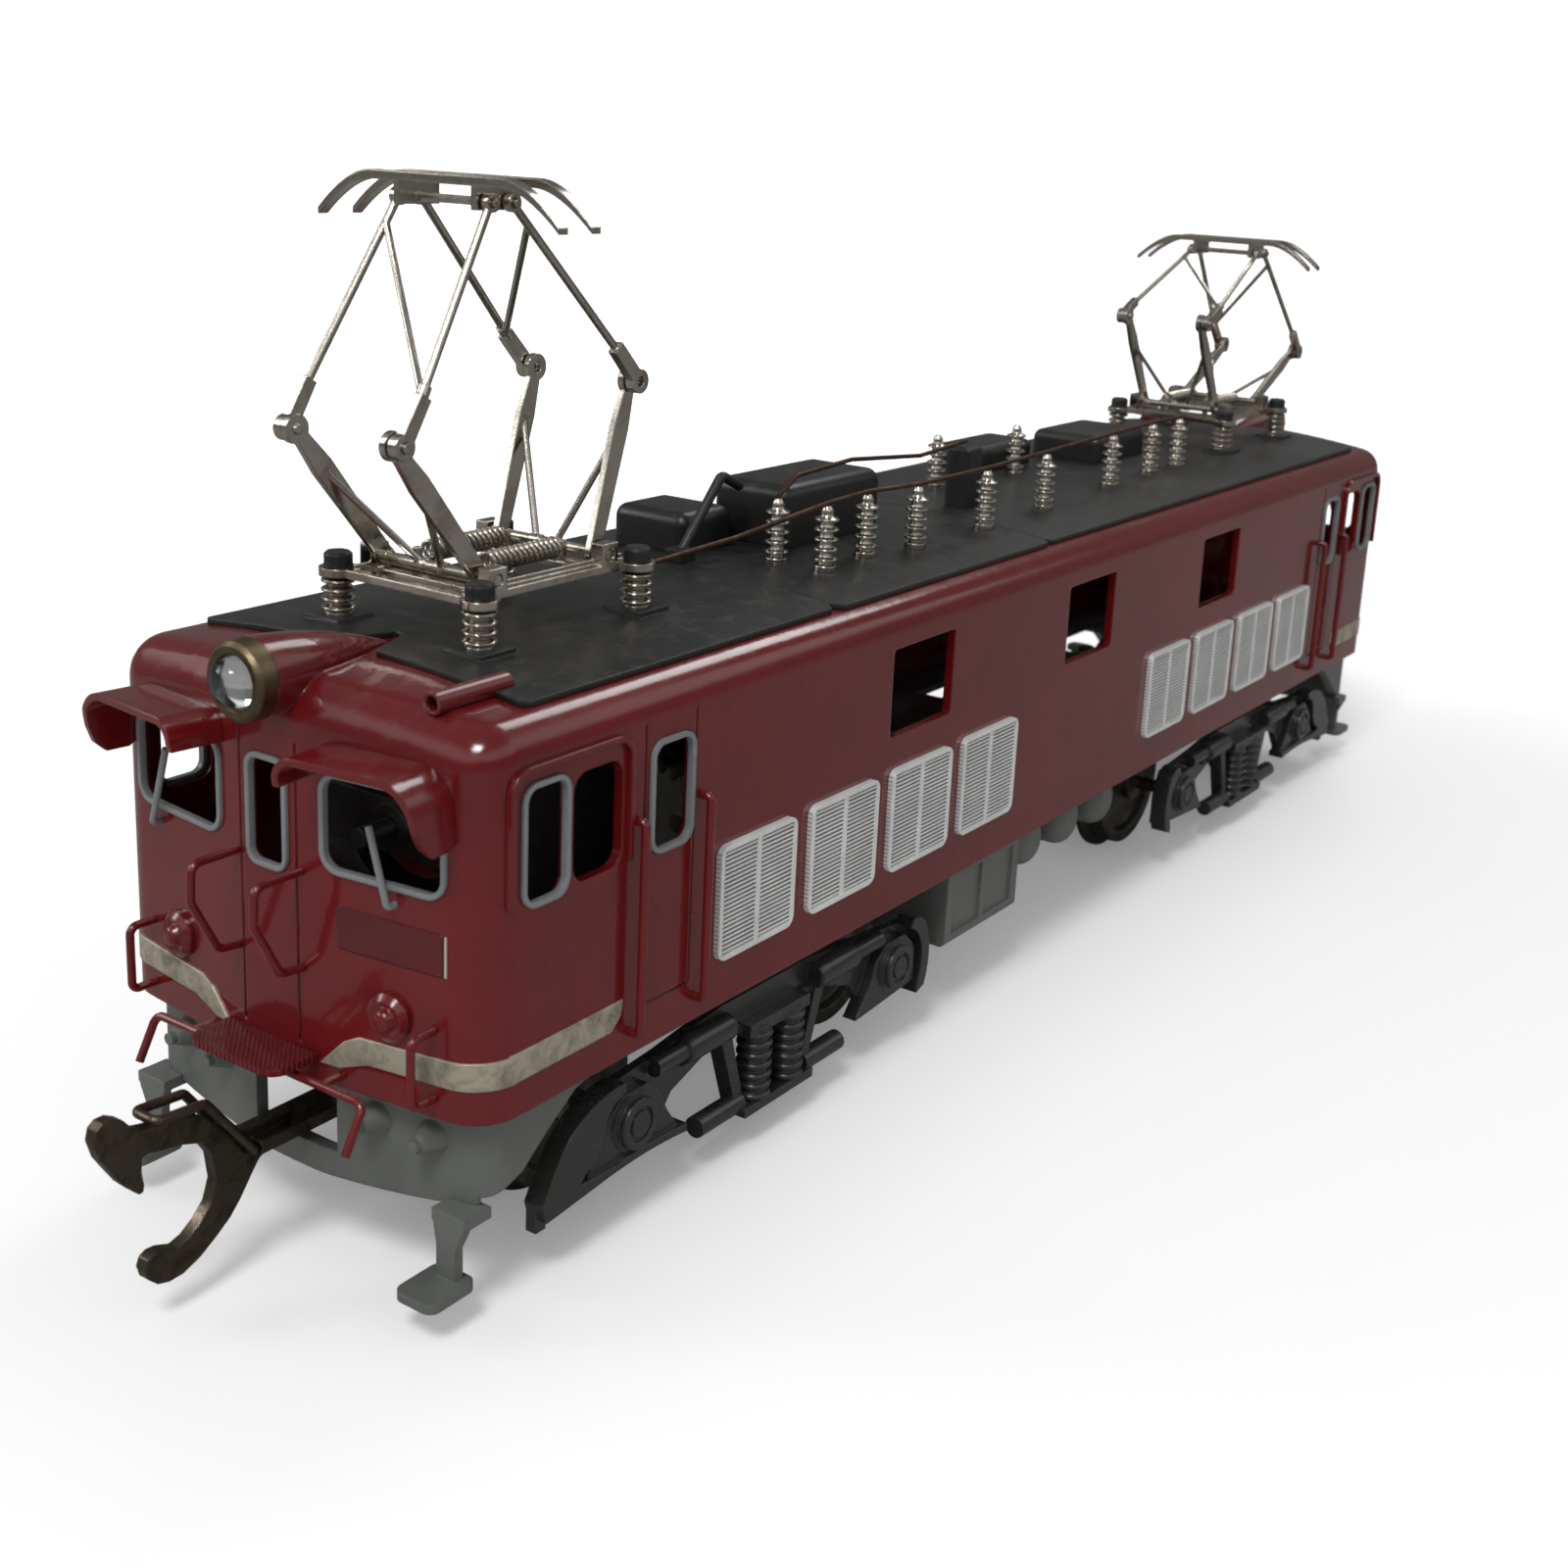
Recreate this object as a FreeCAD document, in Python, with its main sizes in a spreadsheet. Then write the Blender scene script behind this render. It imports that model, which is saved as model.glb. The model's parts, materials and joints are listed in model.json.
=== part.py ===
import FreeCAD, Part
import math
import os
import Sketcher

# Model electric locomotive, 16.5 mm gauge: body shell with roof gear and two pantographs,
# two bogies, the motor and its drive, and a coupler at each end.
# X is across, Y is along the track with the front end at -Y, Z is up from the rail top.
Vec = FreeCAD.Vector
Rot = FreeCAD.Rotation
Place = FreeCAD.Placement
ORIGIN = Vec(0, 0, 0)
X_AXIS = Vec(1, 0, 0)
Y_AXIS = Vec(0, 1, 0)
Z_AXIS = Vec(0, 0, 1)

SIZES = dict(
    # body shell and roof plates
    body_len=167.0, body_wid=35.0, body_low=13.5, eave_z=37.0,
    shoulder_rad=2.6, roof_rad=119.87, crown_z=40.55, wall=0.8,
    nose_half=2.644, nose_deg=6.673, corner_rad=3.2, brow_rad=3.2,
    plate_thk=0.4, plate_half=15.2, end_plate_y=75.9, joint_a_y=40.3, joint_b_y=5.2,
    # windows and louvres
    cab_win_in=4.68, cab_win_out=14.6, cab_win_low=28.35, cab_win_top=35.2,
    mid_win_half=1.93, mid_win_low=27.4, mid_win_top=35.16,
    side_win_half=4.8, side_win_low=28.7, side_win_top=36.0, side_win_gap=30.48,
    frame_wid=0.38, frame_proud=0.25,
    louvre_wid=9.5, louvre_low=17.2, louvre_top=26.0, louvre_pitch=11.52,
    louvre_start=58.1, louvre_thk=0.2, louvre_rim=0.3,
    # floor, bogies and wheels
    floor_thk=0.8, floor_half=16.6, floor_len=161.0,
    bogie_y=47.5, wheelbase=35.0, axle_z=7.0, tread_rad=7.0,
    flange_rad=7.9, gauge_back=7.1, wheel_wid=2.8, axle_rad=1.0,
    # pantographs and roof insulators
    panto_y=62.7, panto_shaft=5.856, panto_z=45.1, lower_arm=12.632,
    upper_arm=17.45, head_half=1.034, arm_x=4.5, sleeve_x=5.2,
    front_a_deg=50.4, front_b_deg=73.3, rear_a_deg=56.6, rear_b_deg=25.1,
    insul_x=6.7, insul_gap=8.25, insul_rad=1.2, insul_top=43.8,
    post_rad=1.0, post_top=45.95,
    # lamps
    lamp_z=40.4, lamp_rad=2.65, tail_x=10.15, tail_z=19.65, tail_rad=1.65,
    # drive, wire, couplers and underfloor gear
    motor_z=27.2, idler_z=19.2, worm_z=11.2, gear_module=0.4,
    wire_rad=0.3, coupler_thk=0.9, coupler_y=76.5, coupler_z=8.2,
    box_y_near=9.0, box_y_far=22.0, box_low=6.0, tank_rad=2.6, tank_z=10.8,
)
doc = FreeCAD.newDocument("locomotive")
sheet = doc.addObject("Spreadsheet::Sheet", "Sizes")
for row, (alias, value) in enumerate(SIZES.items(), 1):
    sheet.set("A%d" % row, alias)
    sheet.set("B%d" % row, repr(value))
    sheet.setAlias("B%d" % row, alias)
doc.recompute()


# ---------------------------------------------------------------- linked lengths
def formula_of(number):
    return number.formula if isinstance(number, Linked) else "(%r)" % float(number)


def combined(result, left, sign, right):
    return Linked(result, "(%s %s %s)" % (formula_of(left), sign, formula_of(right)))


class Linked(float):
    """A number that carries the spreadsheet formula it comes from."""

    def __new__(cls, number, formula):
        made = super().__new__(cls, number)
        made.formula = formula
        return made

    def __add__(self, other):
        return combined(float(self) + float(other), self, "+", other)

    __radd__ = __add__

    def __sub__(self, other):
        return combined(float(self) - float(other), self, "-", other)

    def __rsub__(self, other):
        return combined(float(other) - float(self), other, "-", self)

    def __mul__(self, other):
        return combined(float(self) * float(other), self, "*", other)

    __rmul__ = __mul__

    def __truediv__(self, other):
        return combined(float(self) / float(other), self, "/", other)

    def __neg__(self):
        return self * -1


def size(alias):
    """Plain number from the sheet."""
    return float(sheet.get(alias))


def linked(alias):
    """Number from the sheet that keeps its formula."""
    return Linked(size(alias), "Sizes." + alias)


def bind(obj, prop, number):
    if isinstance(number, Linked):
        obj.setExpression(prop, number.formula)
    else:
        setattr(obj, prop, number)


def move_to(obj, spot, turn=None):
    obj.Placement = Place(Vec(*spot), turn or Rot())
    for axis, number in zip("xyz", spot):
        if isinstance(number, Linked):
            obj.setExpression("Placement.Base." + axis, number.formula)


# ---------------------------------------------------------------- document objects
serial = [0]
NODES = []


def numbered(stem):
    serial[0] += 1
    return "%s_%03d" % (stem, serial[0])


def node(obj, label):
    """List an object as a finished piece."""
    obj.Label = label
    NODES.append(obj)


def feature(label, shape):
    obj = doc.addObject("Part::Feature", label)
    obj.Shape = shape
    return obj


def piece(label, shape):
    node(feature(label, shape), label)


def tool(shape):
    return feature(numbered("tool"), shape)


def along(axis):
    """Test for straight edges that run along an axis."""
    def test(edge):
        if len(edge.Vertexes) < 2 or not isinstance(edge.Curve, Part.Line):
            return False
        run = edge.Vertexes[-1].Point.sub(edge.Vertexes[0].Point)
        return run.Length > 1e-6 and abs(run.normalize().dot(axis)) > 0.9999
    return test


def fillet(base, radius, wanted, name=None):
    doc.recompute()
    obj = doc.addObject("Part::Fillet", name or numbered("edge"))
    obj.Base = base
    obj.Edges = [(i, radius, radius) for i, edge in enumerate(base.Shape.Edges, 1) if wanted(edge)]
    return obj


def cut(base, knife):
    obj = doc.addObject("Part::Cut", numbered("cut"))
    obj.Base = base
    obj.Tool = knife
    return obj


def fuse(*items):
    obj = doc.addObject("Part::MultiFuse", numbered("join"))
    obj.Shapes = list(items)
    return obj


def common(*items):
    obj = doc.addObject("Part::MultiCommon", numbered("meet"))
    obj.Shapes = list(items)
    return obj


def group(label, *items):
    obj = doc.addObject("Part::Compound", label)
    obj.Links = list(items)
    return obj


def mirror(obj, *normals):
    for normal in normals:
        mirrored = doc.addObject("Part::Mirroring", numbered("mirror"))
        mirrored.Source = obj
        mirrored.Base = ORIGIN
        mirrored.Normal = normal
        obj = mirrored
    return obj


# ---------------------------------------------------------------- sketched bodies
def new_body(label):
    return doc.addObject("PartDesign::Body", label)


def origin_part(part, role):
    return [item for item in part.Origin.OriginFeatures if item.Role == role][0]


def sketch(part, plane, offset=None):
    drawn = part.newObject("Sketcher::SketchObject", numbered("sketch"))
    drawn.AttachmentSupport = [(origin_part(part, plane), "")]
    drawn.MapMode = "FlatFace"
    if offset is not None:
        drawn.AttachmentOffset = Place(Vec(0, 0, offset), Rot())
        if isinstance(offset, Linked):
            drawn.setExpression("AttachmentOffset.Base.z", offset.formula)
    return drawn


def constrain(drawn, number, *arguments):
    index = drawn.addConstraint(Sketcher.Constraint(*arguments, float(number)))
    if isinstance(number, Linked):
        drawn.setExpression("Constraints[%d]" % index, number.formula)


def fix(drawn, geometry, end, point):
    """Tie a point of the geometry to its place; zero means on the sketch axis."""
    for kind, axis, number in (("DistanceX", -2, point[0]), ("DistanceY", -1, point[1])):
        if abs(number) < 1e-9:
            drawn.addConstraint(Sketcher.Constraint("PointOnObject", geometry, end, axis))
        else:
            constrain(drawn, number, kind, -1, 1, geometry, end)


def outline(drawn, points, arcs=None):
    """Closed outline; arcs maps a segment's index to a point it bows through."""
    arcs = arcs or {}
    for i, start in enumerate(points):
        end = points[(i + 1) % len(points)]
        start_at, end_at = Vec(*start, 0), Vec(*end, 0)
        if i in arcs:
            middle = Vec(*arcs[i], 0)
            # arcs in a sketch run anticlockwise
            if (middle - start_at).cross(end_at - middle).z > 0:
                curve = Part.Arc(start_at, middle, end_at)
            else:
                curve = Part.Arc(end_at, middle, start_at)
            geometry = drawn.addGeometry(curve, False)
            arc = drawn.Geometry[geometry]
            first = 1 if (arc.StartPoint - start_at).Length < 1e-6 else 2
            fix(drawn, geometry, first, start)
            fix(drawn, geometry, 3 - first, end)
            constrain(drawn, arc.Radius, "Radius", geometry)
        else:
            geometry = drawn.addGeometry(Part.LineSegment(start_at, end_at), False)
            fix(drawn, geometry, 1, start)
            fix(drawn, geometry, 2, end)


def rectangle(part, plane, offset, u0, u1, v0, v1):
    drawn = sketch(part, plane, offset)
    outline(drawn, [(u0, v0), (u1, v0), (u1, v1), (u0, v1)])
    return drawn


def pad(part, profile, length, both=False, back=False):
    made = part.newObject("PartDesign::Pad", numbered("pad"))
    made.Profile = profile
    bind(made, "Length", length)
    made.Midplane = both
    made.Reversed = back
    part.Tip = made
    return made


def pocket(part, profile, length, back=False):
    doc.recompute()
    before = part.Shape.Volume
    made = part.newObject("PartDesign::Pocket", numbered("pocket"))
    made.Profile = profile
    bind(made, "Length", length)
    made.Reversed = back
    part.Tip = made
    doc.recompute()
    if not part.Shape.Volume < before - 1e-6:
        raise RuntimeError("pocket cut nothing in " + part.Label)


def turned(label, points, arcs=None):
    """Turned part: outline of (radius, height), spun about Z."""
    part = new_body(label)
    profile = sketch(part, "XZ_Plane")
    outline(profile, points, arcs)
    made = part.newObject("PartDesign::Revolution", numbered("turn"))
    made.Profile = profile
    made.ReferenceAxis = (profile, ["V_Axis"])
    made.Angle = 360.0
    part.Tip = made
    doc.recompute()
    return part


def prism(label, plane, points, start, length, arcs=None, both=False):
    """Pad of an outline up Z, along +X or along +Y; both pads it evenly either side."""
    lengthwise = plane == "XZ_Plane"
    part = new_body(label)
    profile = sketch(part, plane, None if both else (-start if lengthwise else start))
    outline(profile, points, arcs)
    pad(part, profile, length, both, lengthwise and not both)
    doc.recompute()
    return part


# ---------------------------------------------------------------- plain shapes
def block(x0, x1, y0, y1, z0, z1):
    return Part.makeBox(x1 - x0, y1 - y0, z1 - z0, Vec(x0, y0, z0))


def rounded(axis, radius, *extent):
    """Block with its edges along one axis rounded."""
    made = block(*extent)
    return made.makeFillet(radius, [edge for edge in made.Edges if along(axis)(edge)])


def round_x(radius, length, x, y, z):
    return Part.makeCylinder(radius, length, Vec(x, y, z), X_AXIS)


def round_y(radius, length, x, y, z):
    return Part.makeCylinder(radius, length, Vec(x, y, z), Y_AXIS)


def round_z(radius, length, x, y, z):
    return Part.makeCylinder(radius, length, Vec(x, y, z))


def circles(shape):
    return [edge for edge in shape.Edges if isinstance(edge.Curve, Part.Circle)]


def straight_rod(start, end, radius):
    start, end = Vec(*start), Vec(*end)
    return Part.makeCylinder(radius, (end - start).Length, start, end - start)


def polygon_face(points):
    return Part.Face(Part.makePolygon(points + points[:1]))


def plate_yz(points, x0, x1, shift=0.0):
    """Plate with a (y, z) outline, from x0 to x1, shifted along Y."""
    return polygon_face([Vec(x0, y + shift, z) for y, z in points]).extrude(Vec(x1 - x0, 0, 0))


def plate_xz(points, y0, y1):
    """Plate with an (x, z) outline, from y0 to y1."""
    return polygon_face([Vec(x, y0, z) for x, z in points]).extrude(Vec(0, y1 - y0, 0))


def bent_rod(points, radius, bend):
    """Round rod along points, its corners eased with small arcs."""
    points = [Vec(*point) for point in points]
    edges = []
    start = points[0]
    for before, corner, after in zip(points, points[1:], points[2:]):
        back, ahead = before - corner, after - corner
        reach = min(back.Length, ahead.Length) * 0.45
        back.normalize()
        ahead.normalize()
        angle = math.acos(max(-1, min(1, back.dot(ahead))))
        if math.pi - angle < 0.02:
            continue
        trim = min(bend / math.tan(angle / 2), reach)
        arc_rad = trim * math.tan(angle / 2)
        inward = back + ahead
        inward.normalize()
        middle = corner + inward * (arc_rad / math.sin(angle / 2) - arc_rad)
        arc_start, arc_end = corner + back * trim, corner + ahead * trim
        if (arc_start - start).Length > 1e-6:
            edges.append(Part.makeLine(start, arc_start))
        edges.append(Part.Arc(arc_start, middle, arc_end).toShape())
        start = arc_end
    edges.append(Part.makeLine(start, points[-1]))
    heading = points[1] - points[0]
    heading.normalize()
    profile = Part.Wire([Part.makeCircle(radius, points[0], heading)])
    made = Part.Wire(edges).makePipeShell([profile], True, False)
    if made.ShapeType == "Shell":
        made = Part.Solid(made)
    if made.Volume < 0:
        made.reverse()
    return made


def joined(*shapes):
    """Fuse shapes into one solid and merge its split faces."""
    made = shapes[0]
    if len(shapes) > 1:
        made = made.multiFuse(list(shapes[1:]))
    # merging split faces can fail on some unions, which then keep their faces
    try:
        merged = made.removeSplitter()
        if merged.isValid():
            made = merged
    except Exception:
        pass
    if made.ShapeType == "Compound" and len(made.Solids) == 1:
        made = made.Solids[0]
    if not made.isValid():
        made.fix(1e-5, 1e-5, 1e-4)
    return made


def compound(shapes):
    return Part.makeCompound([solid for shape in shapes for solid in shape.Solids])


def largest(shape):
    return max(shape.Solids, key=lambda solid: solid.Volume)


def flip_x(shape):
    return shape.mirror(ORIGIN, X_AXIS)


def flip_y(shape):
    return shape.mirror(ORIGIN, Y_AXIS)


def half_turn(shape):
    return flip_x(flip_y(shape))


def sides(shape):
    return [shape, flip_x(shape)]


def ends(shape):
    return [shape, flip_y(shape)]


def quarters(shape):
    return [shape, flip_x(shape), flip_y(shape), half_turn(shape)]


# ---------------------------------------------------------------- folded front
HALF_LEN = size("body_len") / 2
HALF_WID = size("body_wid") / 2
BODY_LOW = size("body_low")
CROWN_Z = size("crown_z")
WIRE_RAD = size("wire_rad")
FOLD_X = size("nose_half")
FOLD_ANGLE = math.radians(size("nose_deg"))


def face_y(x):
    """Y of the front face at x."""
    return -HALF_LEN + max(0.0, abs(x) - FOLD_X) * math.tan(FOLD_ANGLE)


def facet_u(x):
    """Distance from the fold along the swept facet, at x."""
    return (x - FOLD_X) / math.cos(FOLD_ANGLE)


def on_facet(shape):
    """Take a shape drawn with x as facet distance and its back on y=0 to the +X facet."""
    made = shape.copy()
    facet = Place(Vec(FOLD_X, -HALF_LEN, 0), Rot(Z_AXIS, size("nose_deg")))
    made.Placement = facet.multiply(made.Placement)
    return made


# ---------------------------------------------------------------- body shell
def section(label, inset, low):
    """Cross-section of the body as a bar along Y."""
    half = linked("body_wid") / 2 - inset
    radius = linked("shoulder_rad") - inset
    eave = linked("eave_z")
    # the shoulder arc stops this far short of the vertical, where the roof arc begins
    stop, middle = math.radians(7.3), math.radians(41.35)
    roof_x = half - radius + radius * math.sin(stop)
    roof_z = eave + radius * math.cos(stop)
    bow_x = float(half - radius + radius * math.cos(middle))
    bow_z = float(eave + radius * math.sin(middle))
    points = [(-half, low), (half, low), (half, eave), (roof_x, roof_z), (-roof_x, roof_z),
              (-half, eave)]
    arcs = {2: (bow_x, bow_z), 3: (0.0, CROWN_Z - inset), 4: (-bow_x, bow_z)}
    return prism(label, "XZ_Plane", points, 0, linked("body_len") + 6, arcs, both=True)


def plan(label, inset, z0, z1, front_inset=None, sharp=False):
    """Plan of the body as an upright prism.

    A sharp plan eases the folds and keeps its corners for the rounding of the whole end.
    """
    half = linked("body_wid") / 2 - inset
    fold = linked("nose_half")
    front = linked("body_len") / 2 - (inset if front_inset is None else front_inset)
    corner = front - (half - fold) * math.tan(FOLD_ANGLE)
    points = [(-fold, -front), (fold, -front), (half, -corner), (half, corner), (fold, front),
              (-fold, front), (-half, corner), (-half, -corner)]
    made = prism(label, "XY_Plane", points, z0, z1 - z0)
    edge_x, radius = (FOLD_X, 4.5) if sharp else (half, max(0.4, size("corner_rad") - inset))

    def wanted(edge):
        return along(Z_AXIS)(edge) and abs(abs(edge.Vertexes[0].Point.x) - edge_x) < 0.01
    return fillet(made, radius, wanted)


def end_rounded(label, base, inset, low, radius):
    """One rounding round both ends: up the corners, over the shoulders, across the brow."""
    front = HALF_LEN - inset

    def on_end(point):
        x, y = abs(point.x), abs(point.y)
        flat = abs(y - (front - max(0.0, x - FOLD_X) * math.tan(FOLD_ANGLE))) < 0.06
        return flat or (abs(x - FOLD_X) < 0.8 and abs(y - front) < 0.12)

    def wanted(edge):
        first, last = edge.FirstParameter, edge.LastParameter
        samples = [edge.valueAt(first + (last - first) * share / 4) for share in range(5)]
        lowest = all(point.z < low + 0.01 for point in samples)
        start_x, end_x = samples[0].x, samples[-1].x
        at_fold = abs(start_x - end_x) < 0.01 and abs(start_x) < 10
        return all(on_end(point) for point in samples) and not lowest and not at_fold
    made = fillet(base, radius, wanted, label)
    doc.recompute()
    return made


wall = size("wall")
inside_low = linked("body_low") - 2
plan_top = linked("crown_z") + 3
block_out = common(section("section_out", 0.0, linked("body_low")),
                   plan("plan_out", 0.0, linked("body_low"), plan_top, sharp=True))
block_in = common(section("section_in", wall, inside_low),
                  plan("plan_in", wall, inside_low, plan_top, sharp=True))
solid_out = end_rounded("body_outside", block_out, 0.0, BODY_LOW, size("brow_rad"))
solid_in = end_rounded("body_inside", block_in, wall, BODY_LOW - 2, size("brow_rad") - 1.5)
BODY = solid_out.Shape


def trimmed(shapes):
    """Cut shapes back to the outside of the body, so that they touch it only."""
    return compound([shape.cut(BODY) for shape in shapes])


# the headlight stands this far in front of the end; its bore starts further out
lamp_y = -linked("body_len") / 2 - 1.1
LAMP_BORE = 1.72
fairing = turned("lamp_fairing", [(0.0, 0.0), (2.7, 0.0), (0.3, 11.6), (0.0, 11.6)],
                 {1: (2.1, 5.4)})
move_to(fairing, (0, lamp_y, linked("lamp_z")), Rot(X_AXIS, -90))
lamp_bore = doc.addObject("Part::Cylinder", numbered("round"))
lamp_bore.Radius = LAMP_BORE
lamp_bore.Height = 4.0
move_to(lamp_bore, (0, lamp_y - 0.4, linked("lamp_z")), Rot(X_AXIS, -90))

# windows of the ends: x (or facet distance) from and to, z from and to, corner radius
CAB_FRONT = (facet_u(size("cab_win_in")), facet_u(size("cab_win_out")),
             size("cab_win_low"), size("cab_win_top"), 1.5)
MID_FRONT = (-size("mid_win_half"), size("mid_win_half"),
             size("mid_win_low"), size("mid_win_top"), 1.1)
# windows of the cab sides: y from and to, z from and to, corner radius
CAB_SIDE_A = (-78.7, -74.2, 27.5, 35.8, 1.3)
CAB_SIDE_B = (-73.75, -68.8, 27.8, 35.3, 1.3)
DOOR = (-66.0, -61.2, 27.5, 35.65, 1.3)


def end_pane(window, inset, y0, y1):
    x0, x1, z0, z1, radius = window
    return rounded(Y_AXIS, radius - inset, x0 + inset, x1 - inset, y0, y1,
                   z0 + inset, z1 - inset)


def side_pane(window, inset, x0, x1):
    y0, y1, z0, z1, radius = window
    return rounded(X_AXIS, radius - inset, x0, x1, y0 + inset, y1 - inset,
                   z0 + inset, z1 - inset)


def body_openings():
    cab = on_facet(end_pane(CAB_FRONT, 0, -2, 2.4))
    made = ends(cab) + ends(flip_x(cab))
    made += ends(end_pane(MID_FRONT, 0, -HALF_LEN - 1, -HALF_LEN + 1.5))
    for window in (CAB_SIDE_A, CAB_SIDE_B, DOOR):
        made += quarters(side_pane(window, 0, 15, 19))
    half = size("side_win_half")
    for place in (-1, 0, 1):
        centre = place * size("side_win_gap")
        window = (centre - half, centre + half, size("side_win_low"), size("side_win_top"), 0.35)
        made += sides(side_pane(window, 0, 15, 19))
    # door outline and front fold lines, scribed into the metal
    line_x, line_half = HALF_WID - 0.18, 0.12
    door_y0, door_y1 = -66.5, -61.0
    for y in (door_y0, door_y1):
        made += quarters(block(line_x, HALF_WID + 1, y - line_half, y + line_half, 16.7, 37.0))
    made += quarters(block(line_x, HALF_WID + 1, door_y0 + line_half, door_y1 - line_half,
                           16.6, 16.84))
    for x in (FOLD_X, -FOLD_X):
        made += ends(block(x - 0.1, x + 0.1, -HALF_LEN - 1, -HALF_LEN + 0.16, 15.9, 36.4))
    return feature("window_openings", compound(made))


openings = body_openings()
hollow = cut(fuse(solid_out, fairing, mirror(fairing, Y_AXIS)), solid_in)
node(cut(cut(hollow, fuse(lamp_bore, mirror(lamp_bore, Y_AXIS))), openings), "body_shell")

# ---------------------------------------------------------------- roof plates
ROOF_CENTRE = CROWN_Z - size("roof_rad")
PLATE_UNDER = size("roof_rad") + 0.03
PLATE_OVER = PLATE_UNDER + size("plate_thk")
PAD_TOP = 41.05
PANTO_Y = size("panto_y")
INSUL_X = size("insul_x")
INSUL_GAP = size("insul_gap")
plate_seat = round_y(PLATE_UNDER, 200, 0, -100, ROOF_CENTRE)
roof_tool = round_y(PLATE_OVER + 0.005, 200, 0, -100, ROOF_CENTRE)


def arch_z(radius, x):
    return ROOF_CENTRE + math.sqrt(radius * radius - x * x)


def roof_bar(label, y0, y1, half):
    low, high = arch_z(PLATE_UNDER, half), arch_z(PLATE_OVER, half)
    points = [(-half, low), (half, low), (half, high), (-half, high)]
    arcs = {0: (0.0, arch_z(PLATE_UNDER, 0)), 2: (0.0, arch_z(PLATE_OVER, 0))}
    return prism(label + "_bar", "XZ_Plane", points, y0, y1 - y0, arcs)


def corner_cuts(y, half, bevel, way):
    """Knives for the two corners at y; way points into the plate along Y."""
    points = [(half - bevel, y - way * 0.5), (half + 1, y - way * 0.5),
              (half + 1, y + way * (bevel + 0.5)), (half, y + way * bevel), (half - bevel, y)]
    return sides(polygon_face([Vec(x, y, 30) for x, y in points]).extrude(Vec(0, 0, 20)))


def insulator_spots(centre):
    return [(side * INSUL_X, centre + end * INSUL_GAP) for side in (-1, 1) for end in (-1, 1)]


def insulator_pads(centre):
    """Square feet for the pantograph insulators, raised from the plate."""
    return tool(compound([block(x - 1.7, x + 1.7, y - 1.7, y + 1.7, 39.5, PAD_TOP).cut(plate_seat)
                          for x, y in insulator_spots(centre)]))


end_y, joint_a, joint_b = linked("end_plate_y"), linked("joint_a_y"), linked("joint_b_y")
plate_half = size("plate_half")
centre_half = plate_half + 0.15
# half the gap between neighbouring plates
joint_gap = 0.05
lamp_notch = Part.makeCone(2.2, 0.5, 4.4, Vec(0, -end_y - 0.2, CROWN_Z + 0.1), Y_AXIS)
roof_front = cut(fuse(roof_bar("roof_plate_front", -end_y, -joint_a - joint_gap, plate_half),
                      insulator_pads(-PANTO_Y)),
                 tool(compound(corner_cuts(-float(end_y), plate_half, 0.5, 1)
                               + corner_cuts(-float(joint_a), plate_half, 0.9, -1)
                               + [lamp_notch])))
node(roof_front, "roof_plate_front")
roof_centre = cut(roof_bar("roof_plate_centre", -joint_a + joint_gap, -joint_b - joint_gap,
                           centre_half),
                  tool(compound(corner_cuts(-float(joint_a), centre_half, 0.9, 1)
                                + corner_cuts(-float(joint_b), centre_half, 0.7, -1))))
node(roof_centre, "roof_plate_centre")
lamp_notch = Part.makeCone(0.5, 2.2, 4.4, Vec(0, end_y - 4.2, CROWN_Z + 0.1), Y_AXIS)
roof_rear = cut(fuse(roof_bar("roof_plate_rear", -joint_b + joint_gap, end_y, plate_half),
                     insulator_pads(PANTO_Y)),
                tool(compound(corner_cuts(-float(joint_b), plate_half, 0.7, 1)
                              + corner_cuts(float(end_y), plate_half, 0.5, -1)
                              + [lamp_notch])))
node(roof_rear, "roof_plate_rear")

# ---------------------------------------------------------------- window frames
FRAME_WID = size("frame_wid")
FRAME_PROUD = size("frame_proud")
# play between a frame and its opening
FRAME_PLAY = 0.01


def end_window_frames():
    cab = on_facet(end_pane(CAB_FRONT, FRAME_PLAY, -FRAME_PROUD, 0.3).cut(
        end_pane(CAB_FRONT, FRAME_WID, -1, 2)))
    middle = end_pane(MID_FRONT, FRAME_PLAY, -HALF_LEN - FRAME_PROUD, -HALF_LEN + 0.3).cut(
        end_pane(MID_FRONT, FRAME_WID, -HALF_LEN - 1, -HALF_LEN + 2))
    return compound(ends(cab) + ends(flip_x(cab)) + ends(middle))


def side_window_frames():
    made = []
    for window in (CAB_SIDE_A, DOOR):
        outer = side_pane(window, FRAME_PLAY, HALF_WID - 0.3, HALF_WID + FRAME_PROUD)
        made += quarters(outer.cut(side_pane(window, FRAME_WID, 15, 19)))
    return compound(made)


piece("end_window_frames", end_window_frames())
piece("side_window_frames", side_window_frames())


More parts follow.
